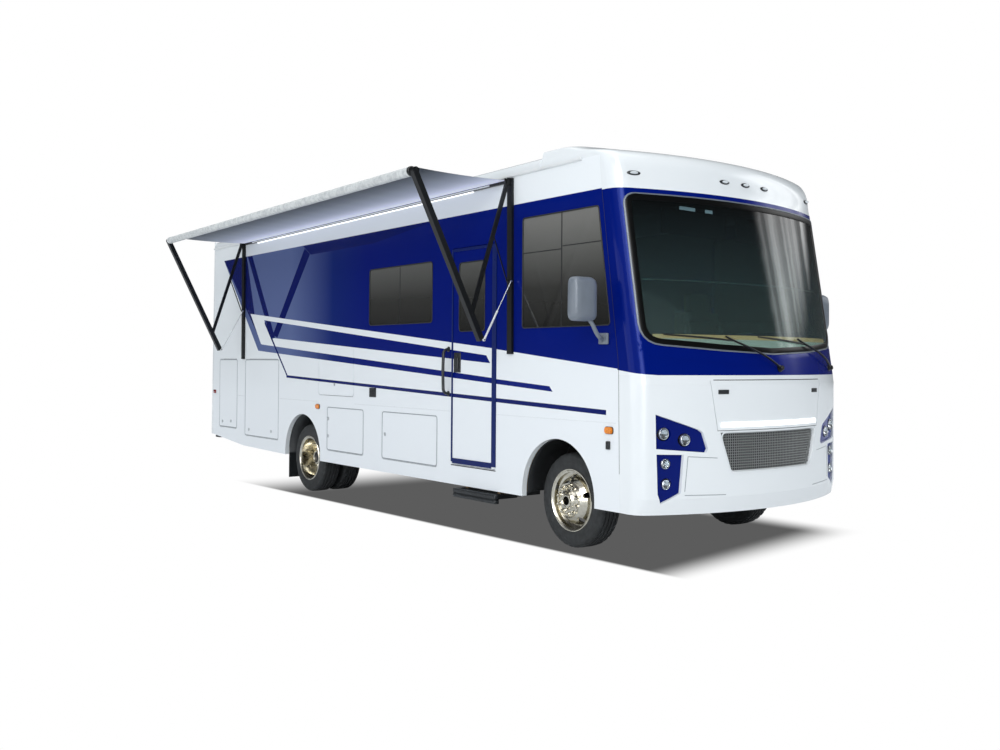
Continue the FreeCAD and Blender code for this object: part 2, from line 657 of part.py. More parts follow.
def before_seam(name, foot, top, reach="2 * nose_reach"):
    """The space before the side walls' front edges, between two heights."""
    outline = [("-(%s)" % reach, foot)] + list(SEAM) + [("-(%s)" % reach, "gutter_front_height")]
    space = side_prism(name + "_space", outline, "-body_width", "body_width")
    layer = box(name + "_layer", ("-body_width", "body_width"), ("-(%s)" % reach, "cap_rear"), (foot, top))
    return common(name, space, layer)


low_outer = nose_block("nose_low_outer", NOSE_LOW, 0)
low_inner = nose_block("nose_low_inner", NOSE_LOW, size("nose_thickness"))
low_shell = cut("nose_low_shell", low_outer, low_inner)
low_zone = before_seam("nose_low_zone", "skirt_height - 20", "belt_height")
middle_outer = nose_block("nose_middle_outer", NOSE_MIDDLE, 0)
middle_inner = nose_block("nose_middle_inner", NOSE_MIDDLE, size("nose_thickness"))
middle_shell = cut("nose_middle_shell", middle_outer, middle_inner)
middle_zone = before_seam("nose_middle_zone", "belt_height", "brow_height")
cap_outer = cap_block("cap_outer", 0, 0)
cap_inner = cap_block("cap_inner", size("nose_thickness"), size("nose_thickness"))
cap_shell = cut("cap_shell", cap_outer, cap_inner)
cap_behind = side_prism("cap_behind", [("seam_brow_along", "brow_height"),
                                       ("seam_top_along", "gutter_front_height"),
                                       ("wall_rear", "gutter_rear_height"), ("wall_rear", "brow_height - 10"),
                                       ("seam_brow_along", "brow_height - 10")],
                        "-body_width", "body_width")
whole("front_cap", cut("front_cap_shell", cap_shell, cap_behind))

# Windscreen and its surround


def screen_tool(name, gap):
    outline = [("-screen_half_width - (%s)" % gap, "screen_foot_height - (%s)" % gap),
               ("screen_half_width + (%s)" % gap, "screen_foot_height - (%s)" % gap),
               ("screen_half_width + (%s)" % gap, "screen_top_height + (%s)" % gap),
               ("-screen_half_width - (%s)" % gap, "screen_top_height + (%s)" % gap)]
    block = front_prism(name + "_block", outline, "-2 * nose_reach", "seam_belt_along")
    return rounded(name, block, FreeCAD.Vector(0, 1, 0), size("screen_corner_radius"))


surround = common("surround_shell", middle_shell, middle_zone)
whole("windshield_surround", cut("surround_cut", surround, screen_tool("screen_opening", "pane_gap")))
screen_outer = nose_block("screen_outer", NOSE_MIDDLE, size("pane_recess"))
screen_inner = nose_block("screen_inner", NOSE_MIDDLE, size("pane_recess") + size("screen_thickness"))
screen_shell = cut("screen_shell", screen_outer, screen_inner)
whole("windshield", common("screen_glass", screen_shell, screen_tool("screen_blank", "0")))

# Nose openings, all drawn in front view

def facing(gap, foot_in, top_in, foot, top):
    """A trapezium across the nose, grown by a gap at its sides."""
    low, high = "(body_width / 2 - %s + %s)" % (foot_in, gap), "(body_width / 2 - %s + %s)" % (top_in, gap)
    return [("-" + low, foot), (low, foot), (high, top), ("-" + high, top)]


GRILLE = facing("0", "grille_foot_in", "grille_top_in", "grille_foot_height", "grille_top_height")
HOOD = facing("0", "hood_foot_in", "hood_top_in", "hood_foot_height", "hood_top_height")
HOOD_GAP = facing("panel_gap", "hood_foot_in", "hood_top_in", "hood_foot_height - panel_gap",
                  "hood_top_height + pane_gap")
# Corners of the two bezels: how far in from the body side, and the height above the ground.
BEZEL_UPPER = [(121, 1174), (460, 1050), (492, 1026), (534, 902), (519, 872), (126, 908)]
BEZEL_LOWER = [(129, 866), (335, 860), (312, 564), (163, 484), (138, 560)]


def nose_prism(name, outline):
    return front_prism(name, outline, "-2 * nose_reach", "seam_belt_along")


def mirrored(outline, side):
    return [("%d * (body_width / 2 - %s)" % (side, a), str(b)) for a, b in outline]


bezel_names = []
for word, side in SIDES:
    for level, outline in (("upper", BEZEL_UPPER), ("lower", BEZEL_LOWER)):
        bezel_names.append((word + "_" + level, mirrored(outline, side)))

fascia = common("fascia_shell", low_shell, low_zone)
fascia_tools = [nose_prism("grille_opening", GRILLE), nose_prism("hood_opening", HOOD_GAP)]
fascia_tools += [nose_prism(name + "_opening", outline) for name, outline in bezel_names]
whole("front_fascia", cut("fascia", fascia, *fascia_tools))

hood_skin = nose_block("hood_skin_inner", NOSE_LOW, size("hood_thickness"))
hood_shell = cut("hood_shell", low_outer, hood_skin)
whole("hood_panel", common("hood", hood_shell, nose_prism("hood_blank", HOOD)))

grille_front = nose_block("grille_front", NOSE_LOW, size("grille_recess"))
grille_back = nose_block("grille_back", NOSE_LOW, size("grille_recess") + size("grille_thickness"))
grille_shell = cut("grille_shell", grille_front, grille_back)
grille_plate = common("grille_plate", grille_shell, nose_prism("grille_blank", GRILLE))


def mesh_holes():
    """Square holes across the grille, kept a bar's width inside its outline."""
    pitch, bar_width = size("grille_mesh"), size("grille_bar")
    foot, top = size("grille_foot_height"), size("grille_top_height")
    low_half, high_half = half_width - size("grille_foot_in"), half_width - size("grille_top_in")
    rows = int((top - foot - bar_width) // pitch)
    start = foot + ((top - foot) - (rows * pitch - bar_width)) / 2
    holes = []
    for row in range(rows):
        height = start + row * pitch
        half = low_half + (high_half - low_half) * (height - foot) / (top - foot) - bar_width
        columns = int((2 * half + bar_width) // pitch)
        for column in range(columns):
            left = (column - columns / 2) * pitch + bar_width / 2
            holes.append(Part.makeBox(pitch - bar_width, 2 * size("nose_reach"), pitch - bar_width,
                                      FreeCAD.Vector(left, -2 * size("nose_reach"), height)))
    return Part.makeCompound(holes)


whole("grille", cut("grille_mesh_plate", grille_plate, plain("grille_holes", mesh_holes())))

# Headlamps: bezels behind the nose face with round lamps let into them

# Lamps: how far in from the body side, height above the ground, radius.
LAMPS = [(355, 972, "lamp_radius"), (198, 1020, "lamp_radius"),
         (210, 790, "small_lamp_radius"), (216, 640, "small_lamp_radius")]
bezel_front = nose_block("bezel_front", NOSE_LOW, size("lamp_recess"))
bezel_shell = cut("bezel_shell", bezel_front, low_inner)
lamp_back = nose_block("lamp_back", NOSE_LOW, size("nose_thickness"))
lamps, bezels = [], []
for word, side in SIDES:
    rods = [rod("%s_lamp_%d" % (word, i), "y", radius, ("-2 * nose_reach", "seam_belt_along"),
                ("%d * (body_width / 2 - %d)" % (side, a), str(b))) for i, (a, b, radius) in enumerate(LAMPS)]
    holes = [rod("%s_lamp_hole_%d" % (word, i), "y", radius + " + pane_gap",
                 ("-2 * nose_reach", "seam_belt_along"), ("%d * (body_width / 2 - %d)" % (side, a), str(b)))
             for i, (a, b, radius) in enumerate(LAMPS)]
    for name, outline in [pair for pair in bezel_names if pair[0].startswith(word)]:
        plate = common(name + "_plate", bezel_shell, nose_prism(name + "_blank", outline))
        bezels.append(cut(name + "_bezel", plate, *holes))
    lamp_front = nose_block(word + "_lamp_front", NOSE_LOW, size("lamp_recess") - 14)
    lamp_shell = cut(word + "_lamp_shell", lamp_front, lamp_back)
    lamps += [common("%s_lens_%d" % (word, i), lamp_shell, bulb) for i, bulb in enumerate(rods)]
whole("headlamp_bezels", together("bezel_set", *bezels))
whole("headlamps", together("lamp_set", *lamps))

# Chassis

rail_top = "rail_foot_height + rail_height"
rails = [box(word + "_rail", ("%d * rail_centre - rail_width / 2" % side,
                              "%d * rail_centre + rail_width / 2" % side),
             ("rail_front", "rail_rear"), ("rail_foot_height", rail_top)) for word, side in SIDES]
CROSS_MEMBERS = ("rail_front", "700", "2100", "3600", "5400", "6900", "rail_rear - cross_depth")
between = "(rail_centre - rail_width / 2)"
crosses = [box("cross_member_%d" % i, ("-" + between, between), (y, "%s + cross_depth" % y),
               ("rail_foot_height + 40", "rail_foot_height + 180")) for i, y in enumerate(CROSS_MEMBERS)]
mounts = [box("body_mount_%d_%s" % (i, word),
              ("%d * rail_centre - 45" % side, "%d * rail_centre + 45" % side),
              (y, "%s + cross_depth" % y), (rail_top, "floor_foot_height"))
          for i, y in enumerate(CROSS_MEMBERS[1:]) for word, side in SIDES]
half_receiver = "receiver_outside / 2"
receiver_bar = box("receiver_bar", ("-" + half_receiver, half_receiver), ("rail_rear - 300", "receiver_rear"),
                   ("receiver_height - receiver_outside / 2", "receiver_height + receiver_outside / 2"))
receiver_hole = box("receiver_hole", ("-receiver_inside / 2", "receiver_inside / 2"),
                    ("rail_rear - 250", "receiver_rear + 10"),
                    ("receiver_height - receiver_inside / 2", "receiver_height + receiver_inside / 2"))
receiver_pin = rod("receiver_pin", "x", "receiver_pin_radius", ("-receiver_outside", "receiver_outside"),
                   ("receiver_rear - 45", "receiver_height"))
hitch_beam = box("hitch_beam", ("-rail_centre - rail_width / 2", "rail_centre + rail_width / 2"),
                 ("rail_rear - 300", "rail_rear - 220"),
                 ("receiver_height + receiver_outside / 2", "rail_foot_height"))
whole("chassis_frame", together("frame_set", *(rails + crosses + mounts)))
receiver = cut("receiver", receiver_bar, receiver_hole, receiver_pin)
whole("tow_hitch", together("hitch_set", receiver, hitch_beam))

whole("engine_block", together("engine", box(
    "engine_solid", ("-rail_centre + rail_width / 2", "rail_centre - rail_width / 2"),
    ("rail_front + cross_depth + 20", "-80"),
    ("spring_foot_height + spring_thickness", "floor_foot_height - 10"))))

tank_top = "rail_foot_height + 160"
whole("fuel_tank", rounded("fuel_tank_rounded", box(
    "fuel_tank_block", ("-rail_centre + rail_width / 2", "rail_centre - rail_width / 2"),
    ("wheelbase + 800", "wheelbase + 1900"), ("rail_foot_height - 170", tank_top)),
    FreeCAD.Vector(0, 1, 0), 40))

# Axles with their leaf springs


def springs(name, centre):
    """Two leaf packs and their hangers, up to the chassis rails."""
    made = []
    for word, side in SIDES:
        x = ("%d * rail_centre - spring_width / 2" % side, "%d * rail_centre + spring_width / 2" % side)
        made.append(box("%s_%s_leaves" % (name, word), x,
                        ("%s - spring_length / 2" % centre, "%s + spring_length / 2" % centre),
                        ("spring_foot_height", "spring_foot_height + spring_thickness")))
        for end, edge in (("fore", "- spring_length / 2"), ("aft", "+ spring_length / 2 - 60")):
            start = "%s %s" % (centre, edge)
            made.append(box("%s_%s_%s_hanger" % (name, word, end), x, (start, "%s + 60" % start),
                            ("spring_foot_height + spring_thickness", "rail_foot_height")))
    return made


eye_span = ("tyre_radius - 35", "tyre_radius + 35")
beam = box("front_beam", ("-kingpin_centre", "kingpin_centre"), ("-40", "40"),
           ("spring_foot_height - 80", "spring_foot_height"))
front_parts, eye_tools = [beam], []
for word, side in SIDES:
    x = "%d * kingpin_centre" % side
    front_parts.append(rod(word + "_eye", "z", "knuckle_boss_radius", eye_span, (x, "0")))
    eye_tools.append(rod(word + "_eye_bore", "z", "kingpin_radius + hub_clearance",
                         ("tyre_radius - 200", "tyre_radius + 200"), (x, "0")))
    eye_tools.append(box(word + "_eye_top", ("%s - 45" % x, "%s + 45" % x), ("-60", "60"),
                         ("tyre_radius + 35", "tyre_radius + 100")))
    eye_tools.append(box(word + "_eye_foot", ("%s - 45" % x, "%s + 45" % x), ("-60", "60"),
                         ("tyre_radius - 100", "tyre_radius - 35")))
front_solid = fuse("front_axle_solid", *(front_parts + springs("front_spring", "0")))
whole("front_axle", cut("front_axle_cut", front_solid, *eye_tools))

tube = rod("rear_tube", "x", "axle_tube_radius", ("-rear_pair_centre - 140", "rear_pair_centre + 140"),
           ("wheelbase", "tyre_radius"))
housing = rod("differential", "x", "diff_radius", ("-130", "130"), ("wheelbase", "tyre_radius"))
whole("rear_axle", fuse("rear_axle_solid", tube, housing, *springs("rear_spring", "wheelbase")))

# Steering knuckles

for word, side in SIDES:
    x = "%d * kingpin_centre" % side
    outboard = sorted((side * (size("kingpin_centre") + 36), side * (size("kingpin_centre") + 58)))
    cheek_high = rod(word + "_ear_high", "z", "knuckle_boss_radius",
                     ("tyre_radius + 38", "tyre_radius + 64"), (x, "0"))
    cheek_low = rod(word + "_ear_low", "z", "knuckle_boss_radius",
                    ("tyre_radius - 64", "tyre_radius - 38"), (x, "0"))
    webs = [box("%s_web_%s" % (word, level), tuple(sorted(("%d * kingpin_centre" % side,
                                                           "%d * (kingpin_centre + 40)" % side),
                                                          key=lambda t: ("+" in t) == (side > 0))),
                ("-28", "28"), z) for level, z in (("high", ("tyre_radius + 38", "tyre_radius + 64")),
                                                   ("low", ("tyre_radius - 64", "tyre_radius - 38")))]
    bridge = box(word + "_bridge", (str(outboard[0]), str(outboard[1])), ("-40", "40"),
                 ("tyre_radius - 64", "tyre_radius + 64"))
    kingpin = rod(word + "_kingpin", "z", "kingpin_radius",
                  ("tyre_radius - 64", "tyre_radius + 64"), (x, "0"))
    ends = sorted((side * (size("kingpin_centre") + 50), side * (size("front_wheel_centre") + 78)))
    spindle = rod(word + "_spindle", "x", "spindle_radius",
                  (str(ends[0]), str(ends[1])), ("0", "tyre_radius"))
    arm_x = sorted((side * (size("kingpin_centre") + 36), side * (size("kingpin_centre") + 56)))
    arm = box(word + "_steering_arm", (str(arm_x[0]), str(arm_x[1])), ("0", "170"),
              ("tyre_radius - 64", "tyre_radius - 38"))
    whole("knuckle_" + word, fuse(word + "_knuckle", cheek_high, cheek_low, bridge, kingpin, spindle, arm,
                                  *webs))

# Wheels: half sections (along the axle, radius), turned about the axle

TYRE = [("-rim_width / 2 + 18", "bead_radius + 0.5"), ("-rim_width / 2 + 14", "flange_radius + 2"),
        ("-tyre_width / 2 + 8", "flange_radius + 13"), ("-tyre_width / 2", "flange_radius + 58"),
        ("-tyre_width / 2 + 4", "tyre_radius - 38"), ("-tyre_width / 2 + 15", "tyre_radius - 9"),
        ("-tyre_width / 2 + 34", "tyre_radius")]
TYRE = TYRE + [(a.replace("-rim_width / 2 +", "rim_width / 2 -").replace("-tyre_width / 2", "tyre_width / 2")
                .replace("tyre_width / 2 +", "tyre_width / 2 -"), r) for a, r in reversed(TYRE)]
BARREL_TOP = [("-rim_width / 2", "flange_radius"), ("-rim_width / 2 + 8", "flange_radius"),
              ("-rim_width / 2 + 14", "bead_radius"), ("rim_width / 2 - 14", "bead_radius"),
              ("rim_width / 2 - 8", "flange_radius"), ("rim_width / 2", "flange_radius")]
# The front disc is domed outboard round its hub.
FRONT_RIM = BARREL_TOP + [
    ("rim_width / 2", "bead_radius + 4"), ("rim_width / 2 - 6", "bead_radius - 10"),
    ("62", "bead_radius - 10"), ("52", "214"), ("90", "192"), ("124", "163"), ("138", "146"), ("134", "132"),
    ("134", "104"), ("140", "76"), ("158", "62"), ("164", "52"), ("164", "spindle_radius + hub_clearance"),
    ("-30", "spindle_radius + hub_clearance"), ("-30", "80"), ("110", "88"), ("122", "102"), ("124", "134"),
    ("112", "156"), ("78", "184"), ("38", "212"), ("42", "bead_radius - 10"),
    ("-rim_width / 2 + 6", "bead_radius - 10"), ("-rim_width / 2", "bead_radius + 4")]


def shifted(outline, move):
    return [("%s + (%s)" % (a, move), r) for a, r in outline]


inner_barrel = shifted(BARREL_TOP, "-twin_spacing / 2")
outer_barrel = shifted(BARREL_TOP, "twin_spacing / 2")
bore = "axle_tube_radius + hub_clearance"
TWIN_RIM = (inner_barrel
            + [("-(twin_spacing - rim_width) / 2", "bead_radius - 6"), ("-8", "205"), ("8", "205"),
               ("(twin_spacing - rim_width) / 2", "bead_radius - 6")]
            + outer_barrel
            + [("(twin_spacing + rim_width) / 2", "bead_radius + 4"),
               ("(twin_spacing + rim_width) / 2 - 6", "bead_radius - 10"), ("40", "bead_radius - 10"),
               ("12", "192"), ("12", "95"), ("150", "80"), ("150", bore), ("-12", bore), ("-12", "192"),
               ("-40", "bead_radius - 10"), ("-(twin_spacing + rim_width) / 2 + 6", "bead_radius - 10"),
               ("-(twin_spacing + rim_width) / 2", "bead_radius + 4")])


def turned(name, outlines, side, x, y):
    """A body turned about the axle line, outboard end away from the centreline."""
    body = doc.addObject("PartDesign::Body", name + "_body")
    plane = [f for f in body.Origin.OriginFeatures if f.Role == "XY_Plane"][0]
    sketch = body.newObject("Sketcher::SketchObject", name + "_section")
    sketch.AttachmentSupport = (plane, [""])
    sketch.MapMode = "FlatFace"
    draw(sketch, outlines)
    turn = body.newObject("PartDesign::Revolution", name + "_turned")
    turn.Profile = sketch
    turn.ReferenceAxis = (sketch, ["H_Axis"])
    turn.Angle = 360
    doc.recompute()
    body.Tip = turn
    if side == CURB:
        body.Placement = FreeCAD.Placement(FreeCAD.Vector(), FreeCAD.Rotation(FreeCAD.Vector(0, 0, 1), 180))
    return at(body, "%d * (%s)" % (side, x), y, "tyre_radius")


def hand_holes(body, name, count, radius, start, depth):
    """Round hand holes through a rim's disc."""
    plane = [f for f in body.Origin.OriginFeatures if f.Role == "YZ_Plane"][0]
    sketch = body.newObject("Sketcher::SketchObject", name + "_hole_outline")
    sketch.AttachmentSupport = (plane, [""])
    sketch.MapMode = "FlatFace"
    sketch.addGeometry(Part.Circle(FreeCAD.Vector(0, radius, 0), FreeCAD.Vector(0, 0, 1), 24))
    sketch.addConstraint(Sketcher.Constraint("Radius", 0, 24))
    sketch.addConstraint(Sketcher.Constraint("DistanceX", -1, 1, 0, 3, 0))
    sketch.addConstraint(Sketcher.Constraint("DistanceY", -1, 1, 0, 3, radius))
    sketch.AttachmentOffset = FreeCAD.Placement(FreeCAD.Vector(0, 0, start), FreeCAD.Rotation())
    pocket = body.newObject("PartDesign::Pocket", name + "_hand_hole")
    pocket.Profile = sketch
    pocket.Length = depth
    doc.recompute()
    axis = [f for f in body.Origin.OriginFeatures if f.Role == "X_Axis"][0]
    pattern = body.newObject("PartDesign::PolarPattern", name + "_hand_holes")
    pattern.Originals = [pocket]
    pattern.Axis = (axis, [""])
    pattern.Angle = 360
    pattern.Occurrences = count
    doc.recompute()
    body.Tip = pattern
    return body


for word, side in SIDES:
    tyre = turned("front_tyre_" + word, TYRE, side, "front_wheel_centre", "0")
    whole("front_tyre_" + word, together("front_tyre_%s_set" % word, tyre))
    rim = turned("front_rim_" + word, FRONT_RIM, side, "front_wheel_centre", "0")
    hand_holes(rim, "front_rim_" + word, 5, 190, 150, 130)
    whole("front_rim_" + word, together("front_rim_%s_set" % word, rim))
    pair = [turned("rear_tyre_%s_%s" % (word, place), TYRE, side,
                   "rear_pair_centre %s twin_spacing / 2" % sign, "wheelbase")
            for place, sign in (("outer", "+"), ("inner", "-"))]
    whole("rear_tyres_" + word, together("rear_tyres_%s_set" % word, *pair))
    twin = turned("rear_rim_" + word, TWIN_RIM, side, "rear_pair_centre", "wheelbase")
    hand_holes(twin, "rear_rim_" + word, 5, 148, 60, 120)
    whole("rear_rims_" + word, together("rear_rims_%s_set" % word, twin))

# Floor with its entry well, and the storage bays under it

floor_top = "floor_foot_height + floor_thickness"
well_y = ("door_front - 15", "door_front + door_width + 15")
inside = "body_width / 2 - wall_thickness"
deck = box("deck", ("-(%s)" % inside, inside), ("floor_front", "wall_rear"), ("floor_foot_height", floor_top))
well_hole = box("well_hole", ("-(%s) - 1" % inside, "-(%s) + 420" % inside), well_y,
                ("floor_foot_height - 10", floor_top + " + 10"))
rear_bay_hole = box("rear_bay_hole", ("-(%s) - 1" % inside, "-(%s) + bay_depth + pane_gap" % inside),
                    ("hatch_c_front - 40", "hatch_d_front + hatch_d_width + 40"),
                    ("floor_foot_height - 10", floor_top + " + 10"))
rear_bay_hole_far = box("rear_bay_hole_far", (inside + " - bay_depth - pane_gap", inside + " + 1"),
                        ("hatch_c_front - 40", "hatch_d_front + hatch_d_width + 40"),
                        ("floor_foot_height - 10", floor_top + " + 10"))
floor_cut = cut("floor_cut", deck, well_hole, rear_bay_hole, rear_bay_hole_far)
well_outer = box("well_outer", ("-(%s)" % inside, "-(%s) + 435" % inside),
                 ("door_front - 30", "door_front + door_width + 30"), ("door_foot_height - 30", floor_top))
well_inner = box("well_inner", ("-(%s) - 1" % inside, "-(%s) + 420" % inside), well_y,
                 ("door_foot_height - 5", floor_top + " + 10"))
well = cut("well", well_outer, well_inner)
tread = box("well_tread", ("-(%s) + 210" % inside, "-(%s) + 425" % inside), well_y,
            ("door_foot_height - 10", "door_foot_height + 205"))
carriers = [box("step_carrier_%d" % i, ("-(%s)" % inside, "-(%s) + 430" % inside), (y, y + " + 40"),
                ("step_tread_height + pane_gap", "door_foot_height - 30"))
            for i, y in enumerate(("step_front + 60", "step_front + step_width - 100"))]
whole("floor_deck", fuse("floor_solid", floor_cut, well, tread, *carriers))


def bay(name, side, y, foot, top, depth, lid):
    """A hollow bay open towards its hatch, closed above by the floor or by its own lid."""
    wall_in = "wall_thickness"
    outer = box(name + "_outer", across(side, wall_in, "%s + %s" % (wall_in, depth)),
                ("%s - 40" % y[0], "%s + 40" % y[1]), (foot, top))
    roof = "%s - bay_wall" % top if lid else "%s + 10" % top
    inner = box(name + "_inner", across(side, wall_in + " - 1", "%s + %s - bay_wall" % (wall_in, depth)),
                ("%s - 40 + bay_wall" % y[0], "%s + 40 - bay_wall" % y[1]), ("%s + bay_wall" % foot, roof))
    return cut(name, outer, inner)


def bay_span(first, last=None):
    last = last or first
    return first[1], "%s + %s" % (last[1], last[2])


low_bays = [("curb_bay_a", CURB, HATCH_A), ("curb_bay_b", CURB, HATCH_B), ("street_bay_a", STREET, HATCH_A)]
bays = [bay(name, side, bay_span(hatch), "bay_floor_height", "floor_foot_height", "bay_depth", False)
        for name, side, hatch in low_bays]
bays.append(bay("curb_locker", CURB, bay_span(LOCKER), "locker_foot - 40",
                "locker_foot + locker_height + 40", "locker_depth", True))
for word, side in SIDES:
    bays.append(bay(word + "_rear_bay", side, bay_span(HATCH_C, HATCH_D), "rear_bay_floor_height",
                    "hatch_tall_top + 40", "bay_depth", True))
whole("storage_bays", together("bay_set", *bays))

# Cab: dash, engine cover, steering wheel and seats

dash_outline = [("-1.2 * nose_reach", floor_top), ("-1.2 * nose_reach", "belt_height - 5"),
                ("-720", "belt_height - 40"), ("-640", "belt_height - 140"), ("-720", floor_top)]
dash_half = "(body_width / 2 - wall_thickness - panel_gap)"
dash_block = side_prism("dash_block", dash_outline, "-" + dash_half, dash_half)
dash_limit = nose_block("dash_limit", NOSE_LOW, size("nose_thickness") + size("panel_gap"))
dash = common("dash", dash_block, dash_limit)
cover = rounded("engine_cover", box("engine_cover_block", ("-330", "330"), ("-630", "160"),
                                    (floor_top, "floor_foot_height + 330")), FreeCAD.Vector(0, 1, 0), 60,
                lambda edge: edge.valueAt(edge.FirstParameter).z > size("floor_foot_height") + 200)
whole("dashboard", together("dashboard_set", dash, cover))

seats = []
for word, side in SIDES:
    x = "%d * (body_width / 2 - seat_in)" % side
    base = box(word + "_seat_base", (x + " - 170", x + " + 170"), ("-200", "190"), (floor_top, "1290"))
    cushion = rounded(word + "_cushion", box(word + "_cushion_block", (x + " - 265", x + " + 265"),
                                             ("-270", "260"), ("1290", "1440")), FreeCAD.Vector(0, 1, 0), 50)
    back = rounded(word + "_back", box(word + "_back_block", (x + " - 255", x + " + 255"), ("180", "300"),
                                       ("1440", "2060")), FreeCAD.Vector(0, 1, 0), 60)
    rest = rounded(word + "_headrest", box(word + "_headrest_block", (x + " - 140", x + " + 140"),
                                           ("195", "285"), ("2060", "2250")), FreeCAD.Vector(0, 1, 0), 40)
    seats.append(fuse(word + "_seat", base, cushion, back, rest))
whole("cab_seats", together("seat_set", *seats))

wheel_centre = FreeCAD.Vector(half_width - size("seat_in"), -470, 1560)
column_foot = FreeCAD.Vector(half_width - size("seat_in"), -700, 1395)
tilt = column_foot - wheel_centre
ring = Part.makeTorus(215, 15, wheel_centre, tilt)
hub_disc = Part.makeCylinder(60, 40, wheel_centre - tilt.normalize() * 20, tilt)
tilt = column_foot - wheel_centre
column = Part.makeCylinder(30, tilt.Length, wheel_centre, tilt)
square = FreeCAD.Rotation(FreeCAD.Vector(0, 0, 1), tilt)
spokes = [Part.makeCylinder(11, 212, wheel_centre, square.multVec(FreeCAD.Vector(
    math.cos(math.radians(a)), math.sin(math.radians(a)), 0))) for a in (90, 210, 330)]
steering = plain("steering_wheel_solid", ring.fuse([hub_disc, column] + spokes))
whole("steering_wheel", cut("steering_wheel_cut", steering, dash))

# Mirrors

heads = []
for word, side in SIDES:
    x = side * (half_width + size("mirror_head_out"))
    y, z = size("mirror_head_along"), size("mirror_head_height")
    foot = FreeCAD.Vector(side * half_width, y + 30, size("mirror_foot_height"))
    elbow = FreeCAD.Vector(side * (half_width + 105), y - 10, size("mirror_foot_height") + 5)
    wide, tall, deep = [size("mirror_head_" + way) / 2 for way in ("width", "tall", "deep")]
    head_low = FreeCAD.Vector(x - side * 40, y, z - tall + 30)
    shoulder = foot + FreeCAD.Vector(side * 10, 0, 0)
    arm = Part.makeCylinder(17, shoulder.distanceToPoint(elbow), shoulder, elbow - shoulder)
    post = Part.makeCylinder(17, elbow.distanceToPoint(head_low), elbow, head_low - elbow)
    boss = Part.makeBox(22, 110, 90, FreeCAD.Vector(foot.x if side > 0 else foot.x - 22, y - 25, foot.z - 45))
    head = Part.makeBox(2 * wide, 2 * deep, 2 * tall, FreeCAD.Vector(x - wide, y - deep, z - tall))
    head = head.makeFillet(34, head.Edges)
    heads.append(plain(word + "_mirror", head.fuse([arm, post, boss, Part.makeSphere(17, elbow)])))
whole("mirrors", together("mirror_set", *heads))

# Awning, drawn in a level frame and then tipped to follow the gutter

TIP = math.degrees(math.atan2(size("awning_drop"), size("awning_span")))
HINGE = (-half_width - size("awning_pivot_out"), size("awning_pivot_height"))
KNEE = (-half_width - size("knee_out"), size("knee_height"))
ROLLER = (-half_width - size("roller_out"), size("roller_height"))
LINK_FOOT = (-half_width - size("link_foot_out"), size("knee_height") + size("link_foot_rise"))
PLANES = (size("awning_front"), size("awning_front") + size("awning_span"))


def tipped(label, thing):
    """A finished awning sub-part, tipped about the front upper pivot."""
    turn = FreeCAD.Rotation(FreeCAD.Vector(1, 0, 0), -TIP)
    centre = FreeCAD.Vector(0, size("awning_front"), size("awning_pivot_height"))
    thing.Placement = FreeCAD.Placement(FreeCAD.Vector(), turn, centre)
    base = thing.Placement.Base
    thing.Label = label
    bind(thing, Placement__Base__x="origin_side", Placement__Base__y="origin_along + %.6f" % base.y)
    nodes.append(thing)
    return thing


def along(start, end, distance):
    """The point at a distance from start towards end."""
    length = math.dist(start, end)
    return tuple(a + (b - a) * distance / length for a, b in zip(start, end))


arm_half = size("inner_arm_thickness") / 2
outer_half = size("outer_arm_width") / 2
arm_edge = size("inner_arm_width") / 2
pin_radius = size("pin_radius")
pin_hole = pin_radius + size("hub_clearance")
TAIL = along(KNEE, ROLLER, -size("arm_tail"))
LINK_HEAD = along(HINGE, KNEE, size("link_distance"))
strut_low = size("strut_offset")


def awning_rails():
    """The two uprights with their pivot ears, and the track that holds the fabric."""
    wall, depth = -half_width, size("awning_rail_depth")
    foot, top = size("awning_rail_foot"), size("awning_rail_top")
    wide = size("awning_rail_width")
    solids = []
    for plane in PLANES:
        upright = Part.makeBox(depth, wide, top - foot, FreeCAD.Vector(wall - depth, plane - wide / 2, foot))
        ears = []
        for face in (plane - arm_half - 3 - 6, plane + arm_half + 3):
            ears.append(Part.makeBox(wall - depth - HINGE[0] + 16, 6, 56,
                                     FreeCAD.Vector(HINGE[0] - 16, face, HINGE[1] - 28)))
        cross = pin(HINGE, pin_radius, plane - arm_half - 9, plane + arm_half + 9)
        solids.append(upright)
        solids.append(cross.fuse(ears).removeSplitter())
    track = Part.makeBox(22, PLANES[1] - PLANES[0] - 2 * wide, 34,
                         FreeCAD.Vector(wall - 22, PLANES[0] + wide, top - 34))
    return Part.makeCompound(solids + [track])


def inner_arms():
    solids = []
    for plane in PLANES:
        arm = bar(along(HINGE, KNEE, -14), along(HINGE, KNEE, math.dist(HINGE, KNEE) + 14),
                  arm_edge, arm_edge, plane - arm_half, plane + arm_half)
        arm = arm.cut(pin(HINGE, pin_hole, plane - 50, plane + 50))
        arm = arm.fuse(pin(KNEE, pin_radius, plane - outer_half - 3, plane + outer_half + 3))
        arm = arm.fuse(pin(LINK_HEAD, pin_radius, plane + arm_half, plane + arm_half + 12))
        solids.append(arm)
    return Part.makeCompound(solids)


